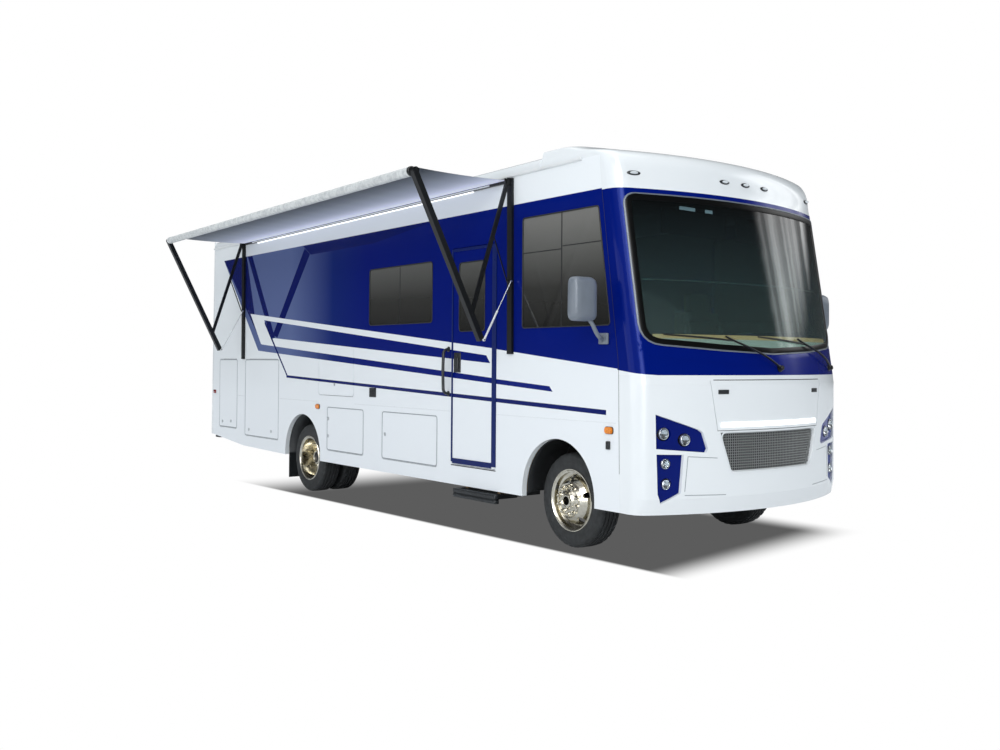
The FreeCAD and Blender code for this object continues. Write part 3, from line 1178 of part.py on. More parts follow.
def outer_arms():
    """Channels open towards the wall, with a solid head for the roller."""
    depth, wall = size("outer_arm_depth"), size("outer_arm_wall")
    outside, inner_edge = depth * 0.6, depth * 0.4
    solids = []
    for plane in PLANES:
        low, high = plane - outer_half, plane + outer_half
        channel = bar(TAIL, ROLLER, inner_edge, outside, low, high)
        hollow = bar(TAIL, along(ROLLER, KNEE, 45), inner_edge + 5, outside - wall, low + wall, high - wall)
        channel = channel.cut(hollow).cut(pin(KNEE, pin_hole, low - 5, high + 5))
        stub = pin(TAIL, pin_radius, plane - strut_low - 12, plane + outer_half)
        cheek = pin(ROLLER, size("roller_radius") * 0.7, low, high)
        solids.append(channel.fuse([stub, cheek]))
    return Part.makeCompound(solids)


def links():
    """Flat links from the inner arms to a shoe that runs on each upright, with the strut's pin."""
    low = arm_half + 3.5
    high = low + 4
    solids = []
    for plane in PLANES:
        link = bar(LINK_HEAD, LINK_FOOT, 6, 6, plane + low, plane + high)
        link = link.fuse([pin(LINK_HEAD, 10, plane + low, plane + high),
                          pin(LINK_FOOT, 7, plane - 8, plane + high),
                          pin(LINK_FOOT, 4, plane - strut_low + 6.3, plane)])
        solids.append(link.cut(pin(LINK_HEAD, pin_hole, plane, plane + 50)))
    return Part.makeCompound(solids)


def strut_cylinders():
    solids = []
    for plane in PLANES:
        centre = plane - strut_low
        axis = FreeCAD.Vector(LINK_FOOT[0] - TAIL[0], 0, LINK_FOOT[1] - TAIL[1]).normalize()
        start = FreeCAD.Vector(TAIL[0], centre, TAIL[1])
        bore_length = size("strut_body_length")
        tube_solid = Part.makeCylinder(size("strut_radius"), bore_length, start + axis * 8, axis)
        eye = pin(TAIL, 12, centre - 7, centre + 7)
        solid = tube_solid.fuse(eye).cut(pin(TAIL, pin_hole, centre - 30, centre + 30))
        solid = solid.cut(Part.makeCylinder(size("strut_rod_radius") + size("hub_clearance"), bore_length,
                                            start + axis * 40, axis))
        solids.append(solid)
    return Part.makeCompound(solids)


def strut_rods():
    solids = []
    length = math.dist(TAIL, LINK_FOOT)
    for plane in PLANES:
        centre = plane - strut_low
        axis = FreeCAD.Vector(LINK_FOOT[0] - TAIL[0], 0, LINK_FOOT[1] - TAIL[1]).normalize()
        start = FreeCAD.Vector(TAIL[0], centre, TAIL[1])
        rod_solid = Part.makeCylinder(size("strut_rod_radius"), length - 6 - 110, start + axis * 110, axis)
        solids.append(rod_solid.fuse(pin(LINK_FOOT, 9, centre - 6, centre + 6)))
    return Part.makeCompound(solids)


def fabric():
    """The sheet from the track to the top of the roller."""
    thick = size("fabric_thickness")
    start = (-half_width - 24, size("awning_rail_top") - 10)
    end = (ROLLER[0], ROLLER[1] + size("roller_radius") + 0.3 + thick / 2)
    return bar(start, end, thick / 2, thick / 2, PLANES[0] + 45, PLANES[1] - 45)


tipped("awning_rails", plain("awning_rails_solid", awning_rails()))
tipped("awning_inner_arms", plain("awning_inner_arms_solid", inner_arms()))
tipped("awning_outer_arms", plain("awning_outer_arms_solid", outer_arms()))
roller = pin(ROLLER, size("roller_radius"), PLANES[0] + outer_half, PLANES[1] - outer_half)
tipped("awning_roller", plain("awning_roller_solid", roller))
tipped("awning_links", plain("awning_links_solid", links()))
tipped("awning_strut_cylinders", plain("awning_strut_cylinders_solid", strut_cylinders()))
tipped("awning_strut_rods", plain("awning_strut_rods_solid", strut_rods()))
tipped("awning_fabric", plain("awning_fabric_solid", fabric()))

# Entry step, tail lamps, rear bumper, roof units and mud flaps

tread_foot = "step_tread_height - step_tread_thickness"
step_outer = "-body_width / 2 - step_out"
step_tread = box("step_tread", (step_outer, step_outer + " + step_tread_depth"),
                 ("step_front", "step_front + step_width"), (tread_foot, "step_tread_height"))
nosing_block = box("step_nosing_block", (step_outer, step_outer + " + step_nosing_depth"),
                   ("step_front", "step_front + step_width"),
                   ("step_tread_height - step_nosing_height", "step_tread_height"))
step_nosing = rounded("step_nosing", nosing_block, FreeCAD.Vector(0, 1, 0), 14,
                      lambda edge: edge.valueAt(edge.FirstParameter).x < -half_width - size("step_out") + 1)
step_arms = [box("step_arm_%d" % i, (step_outer + " + step_tread_depth - 10", step_outer + " + 560"),
                 (y, y + " + 40"), (tread_foot, "step_tread_height"))
             for i, y in enumerate(("step_front + 60", "step_front + step_width - 100"))]
whole("entry_step", fuse("entry_step_solid", step_tread, step_nosing, *step_arms))

rear_face = "wall_rear + rear_cap_depth"
bumper_half = "(body_width / 2 - wall_thickness - panel_gap)"
bumper = box("rear_bumper_block", ("-" + bumper_half, bumper_half), ("rail_rear", rear_face),
             ("skirt_rear_height - rear_bumper_height", "skirt_rear_height"))
whole("rear_bumper", rounded("rear_bumper_bar", bumper, FreeCAD.Vector(0, 0, 1), 60,
                             lambda edge: edge.valueAt(edge.FirstParameter).y > size("wall_rear")))


def rear_skin(height):
    """The y of the leaning rear wall at a height."""
    return ("(wall_rear + rear_cap_depth - rear_cap_lean * (%s - skirt_rear_height)"
            " / (gutter_rear_height + roof_rise - skirt_rear_height))" % height)


lamps_rear = [tablet(word + "_tail_lamp", ("%d * 1060 - 70" % side, "%d * 1060 + 70" % side),
                     (rear_skin("950"), rear_skin("950") + " + 24"), ("950", "1290"), 10)
              for word, side in SIDES]
whole("tail_lamps", together("tail_lamp_set", *lamps_rear))


def roof_top(y):
    """The z of the sloping roof at a place along it."""
    return "(%s + roof_rise)" % gutter(y)


units = []
for number, place in enumerate(("2400", "6200")):
    block = box("roof_unit_%d_block" % number, ("-350", "350"), ("%s - 500" % place, "%s + 500" % place),
                (roof_top(place + " - 500"), roof_top(place) + " + 230"))
    units.append(rounded("roof_unit_%d" % number, block, FreeCAD.Vector(0, 1, 0), 80,
                         lambda edge: edge.valueAt(edge.FirstParameter).z > block.Placement.Base.z + 100))
whole("roof_units", together("roof_unit_set", *units))

flaps = [box(word + "_flap", across(side, "60", "610"), ("arch_rear_centre + arch_width / 2 + 10",
                                                        "arch_rear_centre + arch_width / 2 + 18"),
             ("120", "floor_foot_height")) for word, side in SIDES]
whole("mud_flaps", together("flap_set", *flaps))

# Check every object, then write each sub-part to its file

doc.recompute()
for thing in doc.Objects:
    if "Invalid" in thing.State or "Error" in thing.State:
        raise RuntimeError("%s is %s" % (thing.Name, thing.State))
os.makedirs("parts", exist_ok=True)
for node in nodes:
    shape = node.Shape
    if shape.isNull() or not shape.isValid() or shape.Volume <= 0:
        raise RuntimeError("%s has no valid shape" % node.Label)
    shape.exportStep("parts/%s.step" % node.Label)
    print("%-26s %2d solids %9.1f litres" % (node.Label, len(shape.Solids), shape.Volume / 1e6))
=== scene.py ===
import json
import math

import bmesh
import bpy
from mathutils import Matrix, Vector
from mathutils.bvhtree import BVHTree


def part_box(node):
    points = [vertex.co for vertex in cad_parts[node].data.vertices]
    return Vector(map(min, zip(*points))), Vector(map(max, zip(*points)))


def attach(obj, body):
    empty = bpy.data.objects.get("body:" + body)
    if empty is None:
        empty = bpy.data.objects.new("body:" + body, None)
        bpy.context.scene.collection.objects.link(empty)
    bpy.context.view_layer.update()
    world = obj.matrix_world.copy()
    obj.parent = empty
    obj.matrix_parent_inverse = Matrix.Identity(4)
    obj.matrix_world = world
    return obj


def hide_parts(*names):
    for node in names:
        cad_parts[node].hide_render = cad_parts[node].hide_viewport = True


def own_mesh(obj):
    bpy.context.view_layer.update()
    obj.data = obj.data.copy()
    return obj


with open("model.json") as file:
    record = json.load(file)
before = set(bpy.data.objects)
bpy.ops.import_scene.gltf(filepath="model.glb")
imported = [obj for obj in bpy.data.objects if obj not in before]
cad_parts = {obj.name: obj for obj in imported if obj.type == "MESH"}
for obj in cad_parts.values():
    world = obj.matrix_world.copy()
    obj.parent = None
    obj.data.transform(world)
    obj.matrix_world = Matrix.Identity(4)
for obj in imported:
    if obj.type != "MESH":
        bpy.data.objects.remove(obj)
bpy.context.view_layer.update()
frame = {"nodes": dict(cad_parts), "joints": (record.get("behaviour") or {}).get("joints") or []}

bl_info = {
    "name": "Motorhome dressing",
    "version": (1, 0, 0),
    "blender": (4, 5, 0),
    "location": "View3D > Sidebar > Motorhome",
    "description": "Paint, glass, trim, wheels, awning cloth and cab of a bus-style motorhome",
    "category": "Object",
}

# Places are body metres: x from the midline with the curb side negative, y rearwards from the
# front axle and z up from the ground. place() turns them into the frame's own metres.

JOINTS = {joint["name"]: joint for joint in frame["joints"]}
MIDLINE = JOINTS["hood_lift"]["pos_m"][0]
AXLE = JOINTS["steer_curb"]["pos_m"][1]
CURB, STREET = -1, 1
SIDES = (("curb", CURB), ("street", STREET))


def place(x, y, z):
    return Vector((x + MIDLINE, y + AXLE, z))


def box_of(node):
    """A node's lowest and highest corners in body metres."""
    low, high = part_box(node)
    away = place(0, 0, 0)
    return low - away, high - away


WALL = -box_of("curb_wall")[0].x
TREAD_RADIUS = (box_of("front_tyre_curb")[1].z - box_of("front_tyre_curb")[0].z) / 2


def linear(code):
    """An sRGB hex colour as linear light with full cover."""
    parts = [int(code[i:i + 2], 16) / 255 for i in (1, 3, 5)]
    return tuple(p / 12.92 if p <= 0.04045 else ((p + 0.055) / 1.055) ** 2.4 for p in parts) + (1.0,)


def per_metre(millimetres):
    """The texture scale whose pattern repeats at a real size."""
    return 1000 / millimetres


# Sizes and colours that a user would change


def length(name, words, metres):
    return bpy.props.FloatProperty(name=name, description=words, default=metres, unit="LENGTH", min=0)


def tint(name, words, code):
    return bpy.props.FloatVectorProperty(name=name, description=words, default=linear(code), size=4,
                                         subtype="COLOR", min=0, max=1)


class MotorhomeSizes(bpy.types.PropertyGroup):
    gasket_width: length("Gasket width", "Rubber round a side window", 0.011)
    gasket_proud: length("Gasket height", "How far window rubber stands off the wall", 0.006)
    tread_depth: length("Tread depth", "Depth of the grooves round a tyre", 0.009)
    grille_pitch: length("Grille pitch", "Distance between grille wires", 0.021)
    grille_wire: length("Grille wire", "Width of one grille wire", 0.006)
    cloth_sag: length("Awning sag", "How far the awning cloth hangs between wall and roller", 0.018)
    lamp_bar: length("Lamp bar height", "Height of the awning's lamp bar", 0.03)


class MotorhomeColours(bpy.types.PropertyGroup):
    white: tint("White", "White gelcoat", "#E7EBED")
    royal: tint("Royal blue", "Blue field beside the cab", "#00146C")
    # Steel and grey blue pale the field towards the rear: partly the paint's own fade, partly a painted
    # reflection.
    steel: tint("Steel blue", "Blue field amidships", "#0A226A")
    lilac: tint("Grey blue", "Blue field at the rear", "#5A6894")
    navy: tint("Navy", "Dark lines of the paint scheme", "#03125A")
    cloth: tint("Awning cloth", "Light fleck of the awning cloth", "#CFD2D1")
    cloth_dark: tint("Awning cloth dark", "Dark fleck of the awning cloth", "#A7ABAD")
    seat: tint("Seat vinyl", "Cab seat covers", "#5B5750")


# Forms

TIP_RADIUS = 1e-4


def angles(count):
    """Angles in equal steps once round."""
    return [2 * math.pi * k / count for k in range(count)]


class Form:
    """A mesh gathered from rounded blocks, bars, tubes, turned shapes and skins."""

    def __init__(self):
        self.mesh = bmesh.new()

    def face_strip(self, rings, closed=True, caps=True):
        """Skins a run of rings that each have as many points."""
        rows = [[self.mesh.verts.new(place(*point)) for point in ring] for ring in rings]
        count = len(rows[0])
        last = count if closed else count - 1
        for near, far in zip(rows, rows[1:]):
            for i in range(last):
                j = (i + 1) % count
                self.mesh.faces.new((near[i], near[j], far[j], far[i]))
        if caps and closed:
            self.mesh.faces.new(rows[0][::-1])
            self.mesh.faces.new(rows[-1])
        return self

    def block(self, low, high, edge=0.004, turn=None, steps=2):
        """A block with rounded edges, turned about its own middle."""
        low, high = Vector(low), Vector(high)
        size, middle = high - low, (low + high) / 2
        made = bmesh.ops.create_cube(self.mesh, size=1)["verts"]
        matrix = Matrix.Translation(place(*middle)) @ (turn or Matrix()) @ Matrix.Diagonal((*size, 1))
        bmesh.ops.transform(self.mesh, matrix=matrix, verts=made)
        edges = {e for v in made for e in v.link_edges}
        bmesh.ops.bevel(self.mesh, geom=list(edges), offset=min(edge, min(size) * 0.45), segments=steps,
                        affect="EDGES", profile=0.6)
        return self

    def tube(self, points, radius, sides=12, ends=True, flat=1.0):
        """A round or oval bar along smooth points."""
        points = [Vector(p) for p in points]
        rings = []
        lead = Vector((0, 0, 1))
        for i, point in enumerate(points):
            ahead = points[min(i + 1, len(points) - 1)] - points[max(i - 1, 0)]
            ahead.normalize()
            if abs(ahead.dot(lead)) > 0.95:
                lead = Vector((1, 0, 0))
            side = ahead.cross(lead).normalized()
            up = side.cross(ahead)
            lead = up
            rings.append([point + side * math.cos(a) * radius + up * math.sin(a) * radius * flat
                          for a in angles(sides)])
        return self.face_strip(rings, caps=ends)

    def turned(self, profile, centre, axis, steps=48, caps=True):
        """A shape turned about an axis, from (distance along it, radius) points."""
        axis = Vector(axis).normalized()
        across = axis.orthogonal().normalized()
        over = axis.cross(across)
        spokes = [across * math.cos(a) + over * math.sin(a) for a in angles(steps)]
        rings = [[Vector(centre) + axis * along + spoke * max(radius, TIP_RADIUS) for spoke in spokes]
                 for along, radius in profile]
        return self.face_strip(rings, caps=caps)

    def plate(self, outline, depth, edge=0.0):
        """A flat outline given thickness along a vector, its rim rounded."""
        depth = Vector(depth)
        near = [self.mesh.verts.new(place(*p)) for p in outline]
        face = self.mesh.faces.new(near)
        made = bmesh.ops.extrude_face_region(self.mesh, geom=[face])["geom"]
        far = [v for v in made if isinstance(v, bmesh.types.BMVert)]
        bmesh.ops.translate(self.mesh, vec=depth, verts=far)
        if edge:
            rim = {e for v in far for e in v.link_edges if all(w in far for w in e.verts)}
            bmesh.ops.bevel(self.mesh, geom=list(rim), offset=edge, segments=2, affect="EDGES")
        return self

    def skin(self, rows):
        """An open sheet through rows of points."""
        return self.face_strip(rows, closed=False)


def piece(name, form, coat, body="root", instead_of=(), crease=35):
    """Turns a form into a scene object that rides on its body."""
    bmesh.ops.remove_doubles(form.mesh, verts=form.mesh.verts, dist=1e-6)
    bmesh.ops.recalc_face_normals(form.mesh, faces=form.mesh.faces)
    data = bpy.data.meshes.new(name)
    form.mesh.to_mesh(data)
    form.mesh.free()
    data.shade_smooth()
    data.set_sharp_from_angle(angle=math.radians(crease))
    data.materials.append(coat)
    made = bpy.data.objects.new(name, data)
    bpy.context.collection.objects.link(made)
    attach(made, body)
    if instead_of:
        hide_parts(*instead_of)
    return made


def arc(centre, radius, start, end, steps):
    """Points on an arc, angles in degrees."""
    return [(centre[0] + radius * math.cos(math.radians(start + (end - start) * k / steps)),
             centre[1] + radius * math.sin(math.radians(start + (end - start) * k / steps)))
            for k in range(steps + 1)]


def rectangle(left, foot, right, top):
    return [(left, foot), (right, foot), (right, top), (left, top)]


def anticlockwise(outline):
    area = sum(a[0] * b[1] - b[0] * a[1] for a, b in zip(outline, outline[1:] + outline[:1]))
    return outline if area > 0 else outline[::-1]


def moved_out(outline, distance):
    """A convex outline with each edge moved outwards."""
    outline = anticlockwise(list(outline))
    lines = []
    for a, b in zip(outline, outline[1:] + outline[:1]):
        way = Vector((b[0] - a[0], b[1] - a[1])).normalized()
        out = Vector((way.y, -way.x))
        lines.append((Vector(a) + out * distance, way))
    result = []
    for (p, v), (q, w) in zip(lines[-1:] + lines[:-1], lines):
        share = (q - p).cross(w) / v.cross(w)
        result.append(tuple(p + v * share))
    return result


def softened(outline, radius, steps=5):
    """An outline with its corners rounded, by one radius or by a list of them."""
    result = []
    count = len(outline)
    radii = radius if isinstance(radius, list) else [radius] * count
    for i, corner in enumerate(outline):
        corner = Vector(corner)
        before = (Vector(outline[i - 1]) - corner)
        after = (Vector(outline[(i + 1) % count]) - corner)
        bend = before.angle(after)
        reach = min(radii[i] / math.tan(bend / 2), before.length / 2, after.length / 2)
        start, end = corner + before.normalized() * reach, corner + after.normalized() * reach
        for k in range(steps + 1):
            share = k / steps
            result.append(tuple(start.lerp(corner, share).lerp(corner.lerp(end, share), share)))
    return result


def finer(rings, reach=0.07):
    """Rings with points added along their long edges, as many on each ring."""
    first = rings[0]
    counts = [math.ceil(math.dist(a, b) / reach) or 1 for a, b in zip(first, first[1:] + first[:1])]
    return [[tuple(Vector(a).lerp(Vector(b), k / count))
             for count, a, b in zip(counts, ring, ring[1:] + ring[:1]) for k in range(count)]
            for ring in rings]


def band(form, outline, radius, inner, outer, point_at, low, high):
    """A rounded band between two offsets of an outline; point_at(a, b, off) gives its points."""
    lip = (outer - inner) * 0.22
    radii = radius if isinstance(radius, tuple) else (radius,) * len(outline)
    offsets = ((inner, inner), (inner + lip, inner), (outer - lip, outer), (outer, outer))
    near, near_lip, far_lip, far = finer([
        softened(moved_out(outline, off), [max(r + turn, 0.004) for r in radii]) for off, turn in offsets])
    shoulder = high * 0.7 + low * 0.3
    profile = ((near, low), (near, shoulder), (near_lip, high), (far_lip, high), (far, shoulder),
               (far, low), (near, low))
    form.face_strip([[point_at(a, b, off) for a, b in ring] for ring, off in profile], caps=False)
    return form


def smooth_run(points, between):
    """More points along a Catmull-Rom curve through the ones given."""
    points = [Vector(p) for p in points]
    result = []
    for i in range(len(points) - 1):
        before, a = points[max(i - 1, 0)], points[i]
        b, after = points[i + 1], points[min(i + 2, len(points) - 1)]
        for k in range(between):
            t = k / between
            result.append(0.5 * ((2 * a) + (b - before) * t + (2 * before - 5 * a + 4 * b - after) * t * t
                                 + (3 * a - before - 3 * b + after) * t ** 3))
    return result + [points[-1]]


def on_side(side, base=None):
    """Points at a height off a side wall from (y, z)."""
    face = WALL if base is None else base
    return lambda y, z, off: (side * (face + off), y, z)


class Surface:
    """The outside of some of the part's solids, found by casting along an axis."""

    def __init__(self, *names):
        points, faces = [], []
        for name in names:
            data = frame["nodes"][name].data
            start = len(points)
            points += [v.co.copy() for v in data.vertices]
            faces += [[start + i for i in f.vertices] for f in data.polygons]
        self.tree = BVHTree.FromPolygons(points, faces)

    def from_front(self, x, z, off=0.0):
        """The point and its normal at (x, z), held a little off the skin; where the cast falls
        into the gap between two panels, the panel beside it is taken."""
        for step in (0.0, 0.004, -0.004):
            hit, normal = self.tree.ray_cast(place(x, -3, z + step), Vector((0, 1, 0)))[:2]
            if hit is not None:
                break
        else:
            raise ValueError("nothing of the nose at %.3f, %.3f" % (x, z))
        point = hit - place(0, 0, step)
        normal = normal if normal.y < 0 else -normal
        return point + normal * off, normal

    def from_rear(self, x, z):
        """The point and its normal at (x, z), cast from behind."""
        hit, normal = self.tree.ray_cast(place(x, 12, z), Vector((0, -1, 0)))[:2]
        if hit is None:
            raise ValueError("nothing of the tail at %.2f, %.2f" % (x, z))
        return hit - place(0, 0, 0), normal if normal.y > 0 else -normal

    def height(self, x, y):
        """How high the surface stands at (x, y)."""
        hit = self.tree.ray_cast(place(x, y, 5), Vector((0, 0, -1)))[0]
        if hit is None:
            raise ValueError("nothing of the roof at %.2f, %.2f" % (x, y))
        return hit.z


NOSE = Surface("front_fascia", "hood_panel", "windshield_surround", "windshield", "front_cap")


def on_nose(x, z, off=0.0):
    """The nose's point at (x, z), held off its skin."""
    return NOSE.from_front(x, z, off)[0]


# Shader trees


def add(tree, kind, inputs=None, **settings):
    """Adds one shader node with its settings and its values or links."""
    node = tree.nodes.new("ShaderNode" + kind)
    for key, value in settings.items():
        setattr(node, key, value)
    for key, value in (inputs or {}).items():
        if isinstance(value, bpy.types.NodeSocket):
            tree.links.new(value, node.inputs[key])
        else:
            node.inputs[key].default_value = value
    return node


def material(name, **values):
    """A material with one principled shader, as (material, tree, shader)."""
    made = bpy.data.materials.new(name)
    made.use_nodes = True
    tree = made.node_tree
    tree.nodes.clear()
    skin = add(tree, "BsdfPrincipled", {key.replace("_", " "): value for key, value in values.items()})
    add(tree, "OutputMaterial", {"Surface": skin.outputs[0]})
    return made, tree, skin


def relief(tree, skin, height, millimetres, strength=1.0):
    """Gives the shader a surface relief of a real depth."""
    bump = add(tree, "Bump", {"Height": height, "Distance": millimetres / 1000, "Strength": strength})
    tree.links.new(bump.outputs[0], skin.inputs["Normal"])


def tones(tree, share, *rows):
    """The colour that a value from 0 to 1 has among (place, colour) rows."""
    node = add(tree, "ValToRGB", {0: share})
    elements = node.color_ramp.elements
    while len(elements) < len(rows):
        elements.new(0.5)
    for element, (where, colour) in zip(elements, rows):
        element.position = where
        element.color = colour
    return node.outputs[0]


def object_place(tree):
    """Where a point lies on the vehicle, in the frame's metres."""
    return add(tree, "TexCoord").outputs["Object"]


def colours():
    return bpy.context.scene.motorhome_colours


def sizes():
    return bpy.context.scene.motorhome_sizes


FINISHES = {}


def finish(maker):
    """Makes each finish once and hands out the same one after that."""
    def made(*words):
        key = (maker.__name__,) + words
        if key not in FINISHES:
            FINISHES[key] = maker(*words)
        return FINISHES[key]
    return made


def lay(tree, where, under, outline, over):
    """Lays one convex field of paint, outlined in (y, z) body metres, over the paint under it."""
    outline = anticlockwise(list(outline))
    inside = None
    for a, b in zip(outline, outline[1:] + outline[:1]):
        way = Vector((b[0] - a[0], b[1] - a[1])).normalized()
        inwards = Vector((-way.y, way.x))
        plane = (-inwards.dot(Vector((a[0] + AXLE, a[1]))), inwards.x, inwards.y)
        edge = add(tree, "VectorMath", {0: where, 1: plane}, operation="DOT_PRODUCT").outputs["Value"]
        if inside is None:
            inside = edge
        else:
            inside = add(tree, "Math", {0: inside, 1: edge}, operation="MINIMUM").outputs[0]
    mask = add(tree, "Math", {0: inside, 1: 0.0}, operation="GREATER_THAN").outputs[0]
    return add(tree, "Mix", {0: mask, 6: under, 7: over}, data_type="RGBA").outputs[2]


def ripple(tree, skin):
    """The slow print-through of glass fibre under gloss gelcoat."""
    where = object_place(tree)
    wave = add(tree, "TexNoise", {"Vector": where, "Scale": per_metre(260), "Detail": 2.0})
    relief(tree, skin, wave.outputs[0], 1.2, 0.25)


@finish
def white_gelcoat():
    """Gelcoat sprayed into a polished mould: a wet gloss over a clean, faintly cool white."""
    made, tree, skin = material("gelcoat_gloss_white", Roughness=0.22, IOR=1.5, Coat_Weight=0.35,
                                Coat_Roughness=0.04)
    where = object_place(tree)
    cloud = add(tree, "TexNoise", {"Vector": where, "Scale": per_metre(900), "Detail": 3.0})
    white = colours().white
    shade = tuple(c * 0.965 for c in white[:3]) + (1.0,)
    mixed = add(tree, "Mix", {0: cloud.outputs[0], 6: shade, 7: tuple(white)}, data_type="RGBA")
    tree.links.new(mixed.outputs[2], skin.inputs["Base Color"])
    ripple(tree, skin)
    return made


# The side's paint scheme: outlines of its fields and lines, in (y, z) body metres.
FIELD_REAR = [(7.455, 2.967), (6.235, 1.699), (0.93, 1.374), (0.93, 2.967)]
FIELD_FRONT = [(0.93, 2.967), (0.93, 1.690), (-0.95, 1.501), (-0.95, 2.967)]
FIELD_SPEAR = [(0.93, 1.418), (0.93, 1.374), (0.067, 1.321), (0.111, 1.367)]
TAIL_CORNER = [(7.455, 2.967), (6.65, 2.967), (6.28, 1.93)]
VEE_REAR = [(6.62, 2.967), (6.47, 2.967), (5.71, 1.86), (5.85, 1.86)]
VEE_FRONT = [(4.875, 2.93), (4.73, 2.85), (5.64, 1.86), (5.78, 1.90)]
TOP_BAND = [(4.93, 2.967), (4.706, 2.841), (3.166, 2.845), (1.84, 2.967)]
WHITE_UPPER = [(6.503, 2.191), (0.93, 1.693), (0.93, 1.62), (6.054, 2.094)]
WHITE_HOOK = [(6.503, 2.191), (6.146, 1.785), (5.76, 1.757), (6.054, 2.094)]
WHITE_LOWER = [(5.741, 1.857), (0.93, 1.555), (0.93, 1.4235), (6.12, 1.78)]
WHITE_TIP = [(1.044, 1.631), (0.93, 1.622), (0.93, 1.553), (0.979, 1.558)]
THIN_SLOPE = [(6.04, 2.097), (6.04, 2.046), (5.335, 1.363), (5.31, 1.376)]
THIN_LINE = [(5.36, 1.361), (5.36, 1.391), (-0.612, 1.194), (-0.612, 1.154)]


def blue_fade_and_painted_reflection(tree, parts):
    """The blue that pales from the cab to the rear corner: partly the paint's own fade and partly a painted
    reflection, which grows towards the rear.
    """
    along = add(tree, "MapRange", {0: parts.outputs[1], 1: 2.2 + AXLE, 2: 6.2 + AXLE}).outputs[0]
    paint = colours()
    return tones(tree, along, (0.0, tuple(paint.royal)), (0.28, tuple(paint.royal)),
                 (0.48, tuple(paint.steel)), (0.76, tuple(paint.lilac)))


def flat_place(tree, parts):
    """(1, y, z), for half-planes."""
    return add(tree, "CombineXYZ", {0: 1.0, 1: parts.outputs[1], 2: parts.outputs[2]}).outputs[0]


@finish
def striped_paint():
    """Sprayed two-pack paint over gelcoat under one clear coat: crisp edges, no step, and a deep gloss
    that keeps the blue of the paint where it turns towards a light."""
    made, tree, skin = material("two_pack_paint_stripes", Roughness=0.2, IOR=1.5, Coat_Weight=0.1,
                                Coat_Roughness=0.03, Specular_IOR_Level=0.22,
                                Specular_Tint=linear("#5C86FF"))
    parts = add(tree, "SeparateXYZ", {0: object_place(tree)})
    where = flat_place(tree, parts)
    field = blue_fade_and_painted_reflection(tree, parts)
    white, navy = tuple(colours().white), tuple(colours().navy)
    coat = white
    for outline in (FIELD_REAR, FIELD_FRONT, FIELD_SPEAR):
        coat = lay(tree, where, coat, outline, field)
    for outline in (TAIL_CORNER, VEE_REAR, VEE_FRONT, TOP_BAND):
        coat = lay(tree, where, coat, outline, navy)
    for outline in (WHITE_UPPER, WHITE_HOOK, WHITE_LOWER, WHITE_TIP):
        coat = lay(tree, where, coat, outline, white)
    for outline in (THIN_SLOPE, THIN_LINE):
        coat = lay(tree, where, coat, outline, navy)
    tree.links.new(coat, skin.inputs["Base Color"])
    ripple(tree, skin)
    return made


@finish
def surround_paint():
    """The same two-pack paint on the windscreen surround, blue above one rising line."""
    made, tree, skin = material("two_pack_paint_blue", Roughness=0.18, IOR=1.5, Coat_Weight=0.1,
                                Coat_Roughness=0.03, Specular_IOR_Level=0.22,
                                Specular_Tint=linear("#5C86FF"))
    parts = add(tree, "SeparateXYZ", {0: object_place(tree)})
    where = flat_place(tree, parts)
    above = [(-1.6, 1.405), (-1.6, 3.2), (0.4, 3.2), (0.4, 1.658)]
    coat = lay(tree, where, tuple(colours().white), above, tuple(colours().royal))
    tree.links.new(coat, skin.inputs["Base Color"])
    ripple(tree, skin)
    return made


@finish
def privacy_glass():
    """Tempered glass tinted near black: it reads as a dark mirror, with a painted reflection that makes it
    paler towards the top, where the roof line lights it.
    """
    made, tree, skin = material("tempered_privacy_glass", Roughness=0.04, IOR=1.52, Specular_IOR_Level=0.6)
    parts = add(tree, "SeparateXYZ", {0: object_place(tree)})
    # Painted reflection: the glass is painted paler from the foot of the pane to its top.
    up = add(tree, "MapRange", {0: parts.outputs[2], 1: 1.87, 2: 2.83}).outputs[0]
    ramp = tones(tree, up, (0.0, linear("#20201F")), (0.35, linear("#343432")),
                 (0.72, linear("#5E5E5B")), (1.0, linear("#757471")))
    tree.links.new(ramp, skin.inputs["Base Color"])
    return made


@finish
def windscreen_glass():
    """Laminated glass with a green tint: clear enough to show the dash and dark cab behind it."""
    made, tree, skin = material("laminated_windscreen_glass", Roughness=0.015, IOR=1.45,
                                Transmission_Weight=0.92, Specular_IOR_Level=0.5)
    parts = add(tree, "SeparateXYZ", {0: object_place(tree)})
    up = add(tree, "MapRange", {0: parts.outputs[2], 1: 1.65, 2: 2.9}).outputs[0]
    ramp = tones(tree, up, (0.0, linear("#8CA8A4")), (0.5, linear("#6C888A")),
                 (0.8, linear("#465A5F")), (1.0, linear("#171D20")))
    tree.links.new(ramp, skin.inputs["Base Color"])
    return made


@finish
def tyre_rubber():
    """Moulded tyre rubber: charcoal grey, fine concentric ribs on the wall and a dusty bloom."""
    made, tree, skin = material("moulded_tyre_rubber", Roughness=0.72, IOR=1.52)
    where = object_place(tree)
    dust = add(tree, "TexNoise", {"Vector": where, "Scale": per_metre(55), "Detail": 5.0})
    ramp = tones(tree, dust.outputs[0], (0.35, linear("#1D1F20")),
                 (0.7, linear("#2B2E30")))
    tree.links.new(ramp, skin.inputs["Base Color"])
    grain = add(tree, "TexNoise", {"Vector": where, "Scale": per_metre(3)})
    relief(tree, skin, grain.outputs[0], 0.3, 0.5)
    return made


